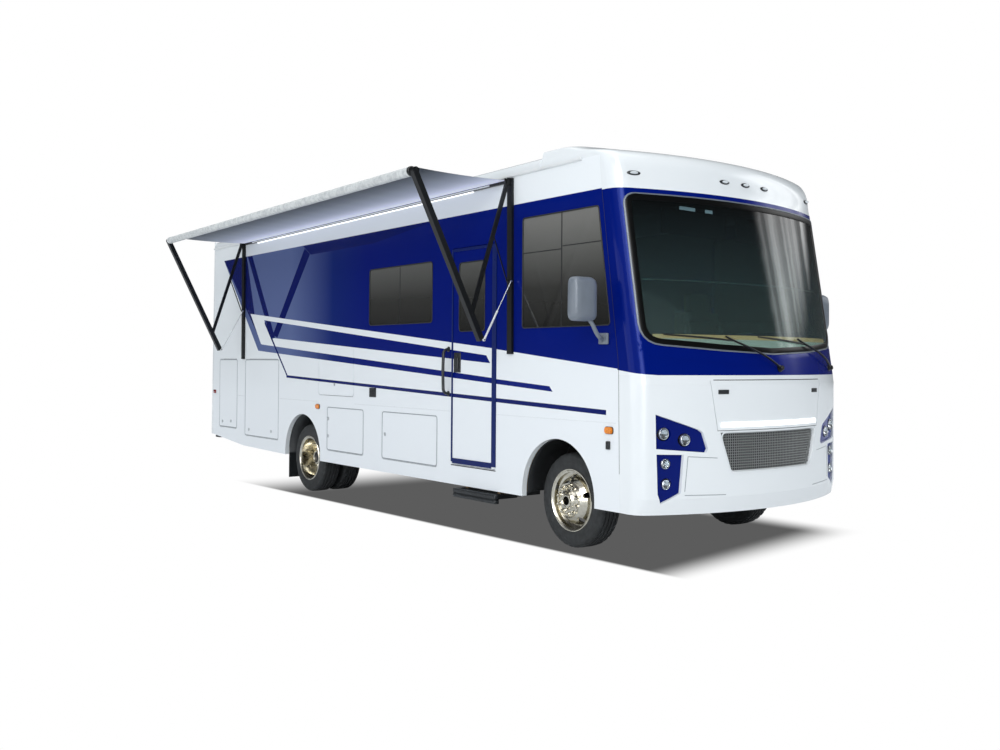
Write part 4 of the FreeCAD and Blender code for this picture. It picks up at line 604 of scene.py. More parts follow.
@finish
def polished_stainless():
    """Stainless steel pressed and buffed: a warm mirror with a slight haze from the buffing wheel."""
    made, tree, skin = material("polished_stainless_steel", Metallic=1.0, Roughness=0.12)
    where = object_place(tree)
    haze = add(tree, "TexNoise", {"Vector": where, "Scale": per_metre(40), "Detail": 4.0})
    tone = tones(tree, haze.outputs[0], (0.3, linear("#B9B4A4")),
                 (0.7, linear("#DAD7CC")))
    tree.links.new(tone, skin.inputs["Base Color"])
    rough = add(tree, "MapRange", {0: haze.outputs[0], 3: 0.08, 4: 0.2})
    tree.links.new(rough.outputs[0], skin.inputs["Roughness"])
    return made


def plain_finish(name, code, grain_size, depth, **values):
    """A finish with one tone, gently clouded, and a grain of a real size."""
    made, tree, skin = material(name, **values)
    where = object_place(tree)
    tone = linear(code)
    cloud = add(tree, "TexNoise", {"Vector": where, "Scale": per_metre(grain_size * 30), "Detail": 3.0})
    shade = tuple(c * 0.8 for c in tone[:3]) + (1.0,)
    mixed = add(tree, "Mix", {0: cloud.outputs[0], 6: shade, 7: tone}, data_type="RGBA")
    tree.links.new(mixed.outputs[2], skin.inputs["Base Color"])
    grain = add(tree, "TexNoise", {"Vector": where, "Scale": per_metre(grain_size), "Detail": 2.0})
    relief(tree, skin, grain.outputs[0], depth, 0.5)
    return made


@finish
def black_abs():
    """Moulded ABS with a leather grain: soft highlights and no mirror."""
    return plain_finish("moulded_abs_black", "#1C2023", 2.5, 0.25, Roughness=0.45, IOR=1.53)


@finish
def mirror_abs():
    """Moulded ABS in mid grey, as on the mirror heads: an eggshell sheen."""
    return plain_finish("moulded_abs_grey", "#737B85", 2.5, 0.15, Roughness=0.38, IOR=1.53)


@finish
def gasket_rubber():
    """Extruded EPDM rubber: a dull near-black line round the glass."""
    return plain_finish("extruded_epdm_rubber", "#131517", 4.0, 0.1, Roughness=0.6, IOR=1.5)


@finish
def powder_coat_black():
    """Extruded aluminium under black powder coat: satin, with a fine orange peel."""
    return plain_finish("powder_coated_aluminium_black", "#0B0E11", 6.0, 0.12, Roughness=0.38, IOR=1.5,
                        Specular_IOR_Level=0.35)


@finish
def powder_coat_white():
    """Extruded aluminium under white powder coat: a bright satin line."""
    return plain_finish("powder_coated_aluminium_white", "#E4E7E8", 6.0, 0.1, Roughness=0.38, IOR=1.5)


@finish
def chassis_coat():
    """Brushed chassis black on hot-rolled steel: semi-gloss, uneven."""
    return plain_finish("chassis_black_on_steel", "#17181A", 9.0, 0.4, Roughness=0.5, IOR=1.5)


@finish
def anodised_aluminium():
    """Anodised aluminium extrusion: a pale, fine-grained metal."""
    return plain_finish("anodised_aluminium", "#C3C7CA", 3.0, 0.05, Metallic=1.0, Roughness=0.35)


@finish
def galvanised_wire():
    """Woven steel wire, galvanised and weathered: the pale bloom of zinc, hardly a metal's glint."""
    return plain_finish("galvanised_steel_wire", "#949796", 5.0, 0.05, Metallic=0.2, Roughness=0.45)


@finish
def foil_trim():
    """Silver foil strip pressed into the windscreen rubber: a thin pale line."""
    return plain_finish("silver_foil_trim", "#6E767F", 5.0, 0.03, Roughness=0.3, IOR=1.5)


@finish
def fired_border():
    """Black ceramic fired into the edge of the glass: as smooth as the glass and quite black."""
    return plain_finish("ceramic_border_black", "#070809", 5.0, 0.02, Roughness=0.3, IOR=1.5,
                        Specular_IOR_Level=0.25)


@finish
def opal_lens():
    """Moulded polycarbonate left frosty: a small pale dome."""
    return plain_finish("moulded_polycarbonate_opal", "#DDE3E6", 6.0, 0.03, Roughness=0.15, IOR=1.58)


@finish
def chrome_reflector():
    """Vacuum-metallised reflector: a clean mirror behind the lens."""
    return plain_finish("metallised_reflector", "#D9DEE3", 8.0, 0.02, Metallic=1.0, Roughness=0.08)


@finish
def mirror_glass():
    """Silvered glass of the rear-view mirrors."""
    return plain_finish("silvered_mirror_glass", "#C9D2D6", 60.0, 0.0, Metallic=1.0, Roughness=0.02)


@finish
def navy_trim():
    """Extruded door trim in navy powder coat: satin beside the gloss paint."""
    return plain_finish("powder_coated_aluminium_navy", "#031C60", 6.0, 0.08, Roughness=0.4, IOR=1.5,
                        Specular_IOR_Level=0.2)


@finish
def seam_shadow():
    """The shadowed groove of a moulded joggle, painted with the panel: a soft grey line."""
    return plain_finish("gelcoat_in_groove", "#8F969B", 6.0, 0.05, Roughness=0.5, IOR=1.5)


@finish
def ceiling_glow():
    """Opal panels of the ceiling lamps: two soft squares high behind the tinted glass."""
    return plain_finish("opal_acrylic_ceiling_lamp", "#E8ECEE", 6.0, 0.0, Roughness=0.4, IOR=1.49,
                        Emission_Color=linear("#E8ECEE"), Emission_Strength=5.0)


@finish
def dash_sill():
    """Moulded sill under the windscreen, pale, with painted light that makes it shine as if lit by the
    daylight falling through the glass.
    """
    return plain_finish("moulded_sill_pale", "#B9C2B2", 4.0, 0.1, Roughness=0.5, IOR=1.5,
                        Emission_Color=linear("#F4F0E6"), Emission_Strength=0.75)


@finish
def dash_tan():
    """Foil-wrapped tan trim along the foot of the windscreen, with painted light that makes it shine as if
    lit by the daylight through the glass.
    """
    return plain_finish("foil_wrapped_trim", "#B8986C", 4.0, 0.1, Roughness=0.5, IOR=1.5,
                        Emission_Color=linear("#F0BC84"), Emission_Strength=1.2)


@finish
def roof_abs():
    """Weathered ABS of the roof shrouds: chalky white, dulled by sun."""
    return plain_finish("weathered_abs_white", "#D5D6D2", 8.0, 0.3, Roughness=0.62, IOR=1.53)


@finish
def seat_vinyl():
    """Embossed vinyl seat cover: a low sheen over a fine pebble grain."""
    made, tree, skin = material("embossed_seat_vinyl", Roughness=0.52, IOR=1.5)
    where = object_place(tree)
    pebble = add(tree, "TexVoronoi", {"Vector": where, "Scale": per_metre(5)})
    dark = tuple(c * 0.7 for c in colours().seat[:3]) + (1.0,)
    mixed = add(tree, "Mix", {0: pebble.outputs[0], 6: dark, 7: tuple(colours().seat)}, data_type="RGBA")
    tree.links.new(mixed.outputs[2], skin.inputs["Base Color"])
    relief(tree, skin, pebble.outputs[0], 0.4, 0.6)
    return made


@finish
def dash_skin():
    """Slush-moulded dash skin: matte dark grey with a sand grain, so that it keeps off the glass."""
    return plain_finish("slush_moulded_dash", "#3A3F40", 3.0, 0.3, Roughness=0.7, IOR=1.5)


@finish
def plywood():
    """Sanded birch plywood: long pale grain, underside sprayed black."""
    made, tree, skin = material("sanded_birch_plywood", Roughness=0.55, IOR=1.5)
    where = object_place(tree)
    long = add(tree, "Mapping", {"Vector": where, "Scale": (1.0, 0.08, 1.0)})
    grain = add(tree, "TexNoise", {"Vector": long.outputs[0], "Scale": per_metre(9), "Detail": 6.0})
    ramp = tones(tree, grain.outputs[0], (0.3, linear("#8A6B49")),
                 (0.7, linear("#B89A70")))
    facing = add(tree, "SeparateXYZ", {0: add(tree, "NewGeometry").outputs["True Normal"]})
    under = add(tree, "Math", {0: facing.outputs[2], 1: -0.5}, operation="LESS_THAN")
    mixed = add(tree, "Mix", {0: under.outputs[0], 6: ramp, 7: linear("#141516")},
                data_type="RGBA")
    tree.links.new(mixed.outputs[2], skin.inputs["Base Color"])
    return made


@finish
def bay_liner():
    """Rotomoulded polyethylene tub: waxy dark grey."""
    return plain_finish("rotomoulded_polyethylene", "#2B2E30", 6.0, 0.3, Roughness=0.6, IOR=1.51)


@finish
def awning_vinyl():
    """Vinyl-coated polyester, mottled in printed greys and woven at half a millimetre, drawn at two
    so that it shows: a chalky cloth. Its underside carries painted light and shade: it shines with
    painted light beside the lamp strip on the wall and is painted darker out towards the roller."""
    made, tree, skin = material("vinyl_coated_polyester", Roughness=0.75, IOR=1.45, Sheen_Weight=0.1,
                                Emission_Strength=0.4)
    where = object_place(tree)
    drift = add(tree, "TexNoise", {"Vector": where, "Scale": per_metre(45), "Detail": 6.0,
                                   "Roughness": 0.65})
    ramp = tones(tree, drift.outputs[0], (0.3, tuple(colours().cloth_dark)),
                 (0.6, tuple(colours().cloth)))
    facing = add(tree, "SeparateXYZ", {0: add(tree, "NewGeometry").outputs["True Normal"]}).outputs[2]
    parts = add(tree, "SeparateXYZ", {0: where})
    under = add(tree, "Math", {0: facing, 1: -0.3}, operation="LESS_THAN").outputs[0]
    inboard = add(tree, "Math", {0: parts.outputs[0], 1: -2.2 + MIDLINE}, operation="GREATER_THAN").outputs[0]
    under = add(tree, "Math", {0: under, 1: inboard}, operation="MULTIPLY").outputs[0]
    reach = add(tree, "MapRange", {0: parts.outputs[0], 1: -1.27 + MIDLINE, 2: -2.1 + MIDLINE}).outputs[0]
    # Painted shade on the underside: pale by the wall, darker out towards the roller.
    painted_underside_shading = tones(tree, reach, (0.0, linear("#E8ECFA")), (0.45, linear("#A0A8B6")),
                  (1.0, linear("#3A444D")))
    # Painted light: the underside shines near the wall, beside the lamp strip.
    glow_with_painted_light = tones(tree, reach, (0.0, linear("#C9CEEC")), (0.35, linear("#70758A")),
                 (0.75, linear("#000000")))
    lit = add(tree, "Mix", {0: under, 6: linear("#000000"), 7: glow_with_painted_light}, data_type="RGBA")
    tree.links.new(lit.outputs[2], skin.inputs["Emission Color"])
    mixed = add(tree, "Mix", {0: under, 6: ramp, 7: painted_underside_shading}, data_type="RGBA")
    tree.links.new(mixed.outputs[2], skin.inputs["Base Color"])
    warp = add(tree, "TexWave", {"Vector": where, "Scale": per_metre(2 * 2 * math.pi)},
               bands_direction="Y")
    relief(tree, skin, warp.outputs[0], 0.2, 0.4)
    return made


@finish
def lamp_lens():
    """Hard-coated polycarbonate lens: water clear with a sharp glint."""
    made, tree, skin = material("polycarbonate_lens_clear", Roughness=0.03, IOR=1.58,
                                Transmission_Weight=1.0)
    fade = add(tree, "LayerWeight", {0: 0.3})
    tone = tones(tree, fade.outputs[1], (0.0, linear("#F4F8FA")),
                 (1.0, linear("#C8D4DA")))
    tree.links.new(tone, skin.inputs["Base Color"])
    return made


def coloured_lens(name, dark, bright):
    """A moulded acrylic lens with a prism pattern inside."""
    made, tree, skin = material(name, Roughness=0.12, IOR=1.49, Coat_Weight=0.6)
    where = object_place(tree)
    prism = add(tree, "TexVoronoi", {"Vector": where, "Scale": per_metre(9)})
    ramp = tones(tree, prism.outputs[0], (0.1, linear(bright)), (0.6, linear(dark)))
    tree.links.new(ramp, skin.inputs["Base Color"])
    return made


@finish
def amber_lens():
    return coloured_lens("moulded_acrylic_amber", "#D87606", "#FFA62C")


@finish
def red_lens():
    return coloured_lens("moulded_acrylic_red", "#5E0408", "#B81018")


@finish
def bezel_paint():
    """ABS in candy blue under clear lacquer: near-black blue, with a painted sheen that turns it brighter
    blue where the surface turns from the view.
    """
    made, tree, skin = material("lacquered_abs_blue", Roughness=0.12, IOR=1.5, Coat_Weight=0.1,
                                Coat_Roughness=0.03, Specular_IOR_Level=0.3,
                                Specular_Tint=linear("#5C86FF"))
    # Painted sheen: brighter blue towards the edges, where the surface turns from the view.
    fade = add(tree, "LayerWeight", {0: 0.45})
    ramp = tones(tree, fade.outputs[1], (0.0, linear("#03105F")),
                 (0.7, linear("#061C78")), (1.0, linear("#2C4E9E")))
    tree.links.new(ramp, skin.inputs["Base Color"])
    return made


@finish
def lamp_glow():
    """Diffused light strip: an even white that stays brighter than the panel round it."""
    made, tree, skin = material("opal_acrylic_light_strip", Roughness=0.3, IOR=1.49,
                                Emission_Strength=0.9)
    where = object_place(tree)
    even = add(tree, "TexNoise", {"Vector": where, "Scale": per_metre(80)})
    ramp = tones(tree, even.outputs[0], (0.2, linear("#F3F7FB")),
                 (0.8, linear("#FFFFFF")))
    tree.links.new(ramp, skin.inputs["Base Color"])
    tree.links.new(ramp, skin.inputs["Emission Color"])
    return made


NODE_FINISHES = {
    striped_paint: ("curb_wall", "street_wall", "curb_hatch_a", "curb_hatch_b", "curb_locker", "curb_hatch_c",
                    "curb_hatch_d", "street_hatch_a", "street_hatch_c", "entry_door"),
    white_gelcoat: ("roof_panel", "rear_cap", "front_cap", "front_fascia", "hood_panel"),
    surround_paint: ("windshield_surround",),
    privacy_glass: ("side_windows", "entry_door_window"),
    windscreen_glass: ("windshield",),
    tyre_rubber: ("front_tyre_curb", "front_tyre_street", "rear_tyres_curb", "rear_tyres_street"),
    polished_stainless: ("front_rim_curb", "front_rim_street", "rear_rims_curb", "rear_rims_street"),
    chassis_coat: ("chassis_frame", "tow_hitch", "engine_block", "fuel_tank", "front_axle", "rear_axle",
                   "knuckle_curb", "knuckle_street", "rear_bumper"),
    plywood: ("floor_deck",),
    bay_liner: ("storage_bays",),
    dash_skin: ("dashboard",),
    seat_vinyl: ("cab_seats",),
    black_abs: ("steering_wheel", "mud_flaps", "grille"),
    mirror_abs: ("mirrors",),
    bezel_paint: ("headlamp_bezels",),
    lamp_lens: ("headlamps",),
    red_lens: ("tail_lamps",),
    powder_coat_black: ("awning_rails", "awning_inner_arms", "awning_outer_arms", "awning_links",
                        "entry_step"),
    anodised_aluminium: ("awning_strut_rods",),
    powder_coat_white: ("awning_strut_cylinders",),
    awning_vinyl: ("awning_roller", "awning_fabric"),
    roof_abs: ("roof_units",),
}


class MOTORHOME_OT_finishes(bpy.types.Operator):
    """Gives each carried-over solid its finish"""
    bl_idname = "motorhome.finishes"
    bl_label = "Body finishes"

    def execute(self, context):
        for maker, names in NODE_FINISHES.items():
            for name in names:
                for slot in frame["nodes"][name].material_slots:
                    slot.material = maker()
        return {"FINISHED"}


# Glass surrounds


# Side panes in (y, z) and the windscreen in (x, z) body metres, with its corners' radii.
HOUSE_PANE = rectangle(1.975, 1.957, 3.25, 2.56)
DOOR_PANE = rectangle(1.07, 1.858, 1.494, 2.51)
CAB_PANE = [(-0.655, 1.868), (0.496, 1.868), (0.496, 2.832), (-0.51, 2.832)]
SCREEN = [(-1.178, 2.892), (-1.178, 1.738), (-0.55, 1.690), (0.0, 1.666), (0.55, 1.690), (1.178, 1.738),
          (1.178, 2.892)]
SCREEN_CORNERS = (0.07, 0.15, 1.0, 1.0, 1.0, 0.15, 0.07)
SCREEN_FLANK = 1.215
PANE_BARS = (((2.612, 1.96), (2.612, 2.557), 0.009), ((-0.04, 1.87), (-0.04, 2.83), 0.012),
             ((-0.555, 2.545), (-0.05, 2.545), 0.008), ((-0.03, 2.522), (0.494, 2.522), 0.008))
CAB_SEAM = ((-0.770, 0.70), (-0.756, 1.50), (-0.748, 1.60), (-0.548, 2.955))


def side_gasket(form, outline, side, radius, base=None):
    wide, proud = sizes().gasket_width, sizes().gasket_proud
    return band(form, outline, radius, -0.006, wide - 0.006, on_side(side, base), -0.001, proud)


def bar_on_side(form, side, start, end, wide, proud, base=0.0):
    """A flat rounded strip on the side wall between two (y, z) points."""
    way = Vector((end[0] - start[0], end[1] - start[1])).normalized()
    out = Vector((way.y, -way.x)) * wide / 2
    corners = [Vector(start) + out, Vector(end) + out, Vector(end) - out, Vector(start) - out]
    foot = side * (WALL + base)
    form.plate([(foot, c.x, c.y) for c in corners], (side * proud, 0, 0), min(proud, wide) * 0.3)
    return form


class MOTORHOME_OT_glazing(bpy.types.Operator):
    """Adds the rubber and the bars round the side glass and the windscreen"""
    bl_idname = "motorhome.glazing"
    bl_label = "Glazing"

    def execute(self, context):
        for word, side in SIDES:
            rubber = Form()
            side_gasket(rubber, HOUSE_PANE, side, 0.04)
            side_gasket(rubber, CAB_PANE, side, 0.03)
            for start, end, wide in PANE_BARS:
                bar_on_side(rubber, side, start, end, wide, 0.003, -0.004)
            for start, end in zip(CAB_SEAM, CAB_SEAM[1:]):
                bar_on_side(rubber, side, start, end, 0.004, 0.0008)
            piece("window_rubber_" + word, rubber, gasket_rubber())
        door = side_gasket(Form(), DOOR_PANE, CURB, 0.04)
        piece("door_window_rubber", door, gasket_rubber(), "entry_door_leaf")
        screen = band(Form(), SCREEN, SCREEN_CORNERS, -0.03, 0.018, on_nose, -0.002, 0.005)
        piece("windscreen_rubber", screen, fired_border())
        foil = band(Form(), SCREEN, SCREEN_CORNERS, 0.014, 0.026, on_nose, -0.002, 0.008)
        piece("windscreen_trim", foil, foil_trim())
        near, far = finer([softened(moved_out(SCREEN, off), [r + off for r in SCREEN_CORNERS])
                           for off in (0.016, 0.12)])
        run = [(a, b) for a, b in zip(near, far) if a[1] < 1.95]
        flange = Form()
        flange.skin([[on_nose(max(-SCREEN_FLANK, min(SCREEN_FLANK, a[0] + (b[0] - a[0]) * share)),
                              a[1] + (b[1] - a[1]) * share, 0.0015) for a, b in run]
                     for share in (0.0, 0.25, 0.5, 0.75, 1.0)])
        piece("windscreen_flange", flange, surround_paint(), crease=60)
        return {"FINISHED"}


# Entry door and its step

# Front, rear, foot and top of the door, and the grab rail's place, foot, top and stand-off.
DOOR_EDGES = (0.88, 1.62, 0.595, 2.65)
GRAB_RAIL = (1.672, 1.262, 1.69, 0.062)


def lever_set(form, middle, turn_side):
    """The door's paddle lock: a dished plate, a paddle and a key barrel."""
    y, z = middle
    x = turn_side * WALL
    form.block((x - 0.006, y - 0.058, z - 0.095), (x + 0.006, y + 0.058, z + 0.095), 0.012, steps=3)
    form.block((x - 0.022, y - 0.036, z - 0.06), (x, y + 0.03, z + 0.045), 0.01, steps=3)
    form.turned([(0.0, 0.0), (0.0, 0.014), (0.012, 0.014), (0.014, 0.011), (0.014, 0.0)], (x, y, z + 0.07),
                (turn_side, 0, 0), 20)
    form.turned([(0.0, 0.0), (0.0, 0.009), (0.009, 0.009), (0.010, 0.0)], (x, y - 0.02, z - 0.078),
                (turn_side, 0, 0), 16)
    return form


class MOTORHOME_OT_entry(bpy.types.Operator):
    """Adds the entry door's frame, lock, grab rail and the step's ribs"""
    bl_idname = "motorhome.entry"
    bl_label = "Entry"

    def execute(self, context):
        front, rear, foot, top = DOOR_EDGES
        trim = Form()
        for start, end, wide in (((front + 0.036, foot + 0.02), (front + 0.036, top - 0.004), 0.068),
                                 ((rear - 0.014, foot + 0.02), (rear - 0.014, top - 0.004), 0.024),
                                 ((front + 0.07, foot + 0.03), (rear - 0.026, foot + 0.03), 0.05),
                                 ((front + 0.07, top - 0.016), (rear - 0.026, top - 0.016), 0.024)):
            bar_on_side(trim, CURB, start, end, wide, 0.006)
        for z in (0.75, 1.2, 1.65, 2.1, 2.5):
            trim.turned([(0.0, 0.0), (0.0, 0.009), (0.004, 0.009), (0.006, 0.0)],
                        (CURB * (WALL + 0.005), front + 0.036, z), (CURB, 0, 0), 12)
        piece("door_frame_trim", trim, navy_trim(), "entry_door_leaf")
        weather = Form()
        bar_on_side(weather, CURB, (front + 0.004, foot - 0.012), (rear - 0.004, foot - 0.012), 0.008, 0.004)
        piece("door_weather_strip", weather, gasket_rubber())
        lock = lever_set(Form(), (1.52, 1.562), CURB)
        piece("door_lock", lock, black_abs(), "entry_door_leaf")
        rail = Form()
        y, low, high, out = GRAB_RAIL
        run = [(CURB * WALL, y, low), (CURB * (WALL + out * 0.5), y, low + 0.004),
               (CURB * (WALL + out * 0.92), y, low + 0.03), (CURB * (WALL + out), y, low + 0.085),
               (CURB * (WALL + out * 1.05), y, (low + high) / 2), (CURB * (WALL + out), y, high - 0.085),
               (CURB * (WALL + out * 0.92), y, high - 0.03), (CURB * (WALL + out * 0.5), y, high - 0.004),
               (CURB * WALL, y, high)]
        rail.tube(smooth_run(run, 4), 0.017, 14, flat=0.8)
        for z in (low, high):
            rail.turned([(0.0, 0.0), (0.0, 0.026), (0.006, 0.026), (0.01, 0.016), (0.01, 0.0)],
                        (CURB * WALL, y, z), (CURB, 0, 0), 24)
        piece("grab_rail", rail, black_abs())
        step = Form()
        near, far = box_of("entry_step")
        out, front, rear, top = near.x, near.y, far.y, far.z
        for low, high in ((top - 0.079, top - 0.042), (top - 0.037, top + 0.004)):
            step.block((out - 0.007, front - 0.006, low), (out + 0.03, rear + 0.006, high), 0.014, steps=4)
        for k in range(9):
            x = out + 0.036 + k * 0.023
            step.block((x, front + 0.02, top - 0.004), (x + 0.011, rear - 0.02, top + 0.004), 0.003)
        piece("step_ribs", step, black_abs(), "step")
        return {"FINISHED"}


# Hatches, belt line and small side fittings

# Each hatch's body, side and (front, rear, foot, top).
HATCHES = {
    "curb_hatch_a": ("hatch_front_curb", CURB, (1.868, 2.958, 0.540, 1.043)),
    "curb_hatch_b": ("hatch_middle_curb", CURB, (3.365, 4.240, 0.540, 1.043)),
    "curb_locker": ("hatch_locker_curb", CURB, (3.600, 4.460, 1.176, 1.709)),
    "curb_hatch_c": ("hatch_wide_curb", CURB, (5.580, 6.655, 0.571, 1.587)),
    "curb_hatch_d": ("hatch_narrow_curb", CURB, (6.930, 7.572, 0.646, 1.587)),
    "street_hatch_a": ("hatch_front_street", STREET, (1.868, 2.958, 0.540, 1.043)),
    "street_hatch_c": ("hatch_wide_street", STREET, (5.580, 6.655, 0.571, 1.587)),
}
LATCHES = {
    "curb_hatch_a": ((2.89, 0.80),),
    "curb_hatch_b": ((4.205, 0.903), (4.205, 0.704)),
    "curb_locker": ((4.057, 1.305),),
    "curb_hatch_c": ((6.515, 0.653), (5.803, 0.665)),
    "curb_hatch_d": ((7.447, 0.72), (7.14, 0.735)),
    "street_hatch_a": ((2.20, 0.588), (2.66, 0.588)),
    "street_hatch_c": ((5.66, 0.72), (5.66, 1.42)),
}


def push_latch(form, side, y, z):
    """A flush thumb lock with its bezel ring and key slot."""
    x = side * WALL
    form.turned([(-0.001, 0.0), (-0.001, 0.019), (0.004, 0.019), (0.006, 0.016), (0.003, 0.013),
                 (0.003, 0.0)], (x, y, z), (side, 0, 0), 24)
    form.block((x - 0.004, y - 0.002, z - 0.007), (x + 0.004, y + 0.002, z + 0.007), 0.001)
    return form


BELT_HEIGHT = 1.094
BELT_RUNS = {
    "curb": ((-0.73, 0.87), (1.64, 3.58), (4.48, 5.56), (6.67, 6.91), (7.59, 7.79)),
    "street": ((-0.73, 5.56), (6.67, 7.79)),
}
SIDE_MARKERS = ((-0.649, 1.035), (4.476, 1.035))
STREET_LOUVRES = ((3.9, 1.75, 0.52, 0.42), (4.6, 1.25, 0.36, 0.36))
LOUVRE_PITCH = 0.035


class MOTORHOME_OT_hatches(bpy.types.Operator):
    """Adds the hatches' latches and lips, the belt line, vents and side markers"""
    bl_idname = "motorhome.hatches"
    bl_label = "Hatches and side fittings"

    def execute(self, context):
        for name, (body, side, (front, rear, foot, top)) in HATCHES.items():
            latch = Form()
            for y, z in LATCHES[name]:
                push_latch(latch, side, y, z)
            piece(name + "_latch", latch, anodised_aluminium(), body)
            lip = band(Form(), rectangle(front, foot, rear, top), 0.04, -0.012, -0.003, on_side(side),
                       -0.001, 0.0016)
            coat = striped_paint() if name == "curb_locker" else seam_shadow()
            piece(name + "_lip", lip, coat, body)
        for word, side in SIDES:
            belt = Form()
            for start, end in BELT_RUNS[word]:
                bar_on_side(belt, side, (start, BELT_HEIGHT), (end, BELT_HEIGHT), 0.007, 0.0025)
            piece("belt_line_" + word, belt, white_gelcoat())
            amber, red, small = Form(), Form(), Form()
            for y, z in SIDE_MARKERS:
                for form, grow, tall in ((small, 1.0, 0.006), (amber, 0.88, 0.020)):
                    wide, high = 0.052 * grow, 0.030 * grow
                    oval = softened(rectangle(y - wide, z - high, y + wide, z + high), 0.026 * grow)
                    form.plate([(side * WALL, a, b) for a, b in oval], (side * tall, 0, 0), tall * 0.4)
            red.block((side * WALL - 0.014, 7.70, 1.105), (side * WALL + 0.014, 7.78, 1.155), 0.01, steps=3)
            small.block((side * WALL - 0.018, -0.664, 0.884), (side * WALL + 0.018, -0.624, 0.95), 0.007)
            piece("side_markers_" + word, amber, amber_lens())
            piece("rear_side_marker_" + word, red, red_lens())
            piece("side_bases_" + word, small, black_abs())
        vent = Form()
        vent.block((-WALL - 0.008, 3.09, 1.183), (-WALL + 0.004, 3.23, 1.283), 0.008)
        for k in range(6):
            low = 1.194 + k * 0.014
            vent.block((-WALL - 0.013, 3.10, low), (-WALL - 0.004, 3.22, low + 0.007), 0.002)
        piece("side_vent", vent, black_abs())
        louvres = Form()
        for y, z, wide, tall in STREET_LOUVRES:
            front, rear = y - wide / 2, y + wide / 2
            louvres.block((WALL - 0.004, front, z), (WALL + 0.012, rear, z + tall), 0.01)
            for k in range(int(tall / LOUVRE_PITCH) - 1):
                low = z + 0.03 + k * LOUVRE_PITCH
                louvres.block((WALL + 0.004, front + 0.03, low), (WALL + 0.02, rear - 0.03, low + 0.018),
                              0.005, Matrix.Rotation(math.radians(18), 4, "Y"))
        piece("street_louvres", louvres, roof_abs())
        filler = Form()
        filler.block((WALL - 0.003, 7.05, 0.86), (WALL + 0.01, 7.25, 1.05), 0.012)
        piece("fuel_flap", filler, black_abs())
        return {"FINISHED"}


# Wheels

DRAWN_RADIUS = 0.402
TWIN_STEP = 0.135
ARCHES = (0.005, 4.890)
ARCH_REACH, ARCH_LEVEL, LINER_FOOT = 0.47, 0.452, 0.42


def tyre_profile():
    """Half section of the tyre as (along the axle, radius), rim seat to rim seat over the tread."""
    groove = sizes().tread_depth
    wall = [(0.093, 0.2475), (0.100, 0.2535), (0.1035, 0.262), (0.1085, 0.28), (0.1125, 0.305),
            (0.113, 0.325), (0.1118, 0.330), (0.1126, 0.334), (0.1105, 0.352), (0.106, 0.368),
            (0.1065, 0.371), (0.1005, 0.384), (0.093, 0.3935), (0.084, 0.3985)]
    crown = []
    for middle in (0.058, 0.02):
        crown += [(middle + 0.006, 0.4005 + (0.058 - middle) * 0.03), (middle + 0.0045, 0.4005 - groove),
                  (middle - 0.0045, 0.4005 - groove), (middle - 0.006, 0.401 + (0.058 - middle) * 0.025)]
    half = wall + crown
    return half + [(-a, r) for a, r in reversed(half)]


def tyre_form(form, centre, steps=144):
    """One tyre: ribbed tread with cross cuts at its shoulders."""
    x, y, z = centre
    rings = []
    for along, radius in tyre_profile():
        ring = []
        for k in range(steps):
            cut = 0.006 if radius > 0.39 and abs(along) > 0.062 and k % 4 == 0 else 0.0
            angle = 2 * math.pi * k / steps
            reach = (radius - cut) * TREAD_RADIUS / DRAWN_RADIUS
            ring.append((x + along, y + reach * math.cos(angle), z + reach * math.sin(angle)))
        rings.append(ring)
    return form.face_strip(rings + rings[:1], caps=False)


def lug_nuts(form, centre, side, radius, depth, count=10, size=0.017):
    """Chromed covers over the wheel nuts."""
    x, y, z = centre
    for k in range(count):
        angle = 2 * math.pi * (k + 0.5) / count
        spot = (x + side * depth, y + radius * math.cos(angle), z + radius * math.sin(angle))
        form.turned([(0.0, size + 0.006), (0.004, size + 0.005), (0.006, size), (0.028, size * 0.82),
                     (0.036, size * 0.5), (0.038, 0.0)], spot, (side, 0, 0), 12)
    return form


def lip_ring(form, centre, side, depth):
    """The rolled lip of a wheel, bright round the rim."""
    form.turned([(depth - 0.004, 0.2625), (depth + 0.003, 0.266), (depth + 0.008, 0.263),
                 (depth + 0.008, 0.257), (depth + 0.001, 0.250), (depth - 0.006, 0.246),
                 (depth - 0.012, 0.2445)], centre, (side, 0, 0), 96, caps=False)
    return form


def hub_cap(form, centre, side, depth, radius):
    """An open ring cap round the hub's end."""
    form.turned([(depth - 0.014, radius), (depth - 0.002, radius), (depth + 0.004, radius * 0.94),
                 (depth + 0.005, radius * 0.8), (depth, radius * 0.72), (depth - 0.012, radius * 0.70)],
                centre, (side, 0, 0), 48, caps=False)
    return form


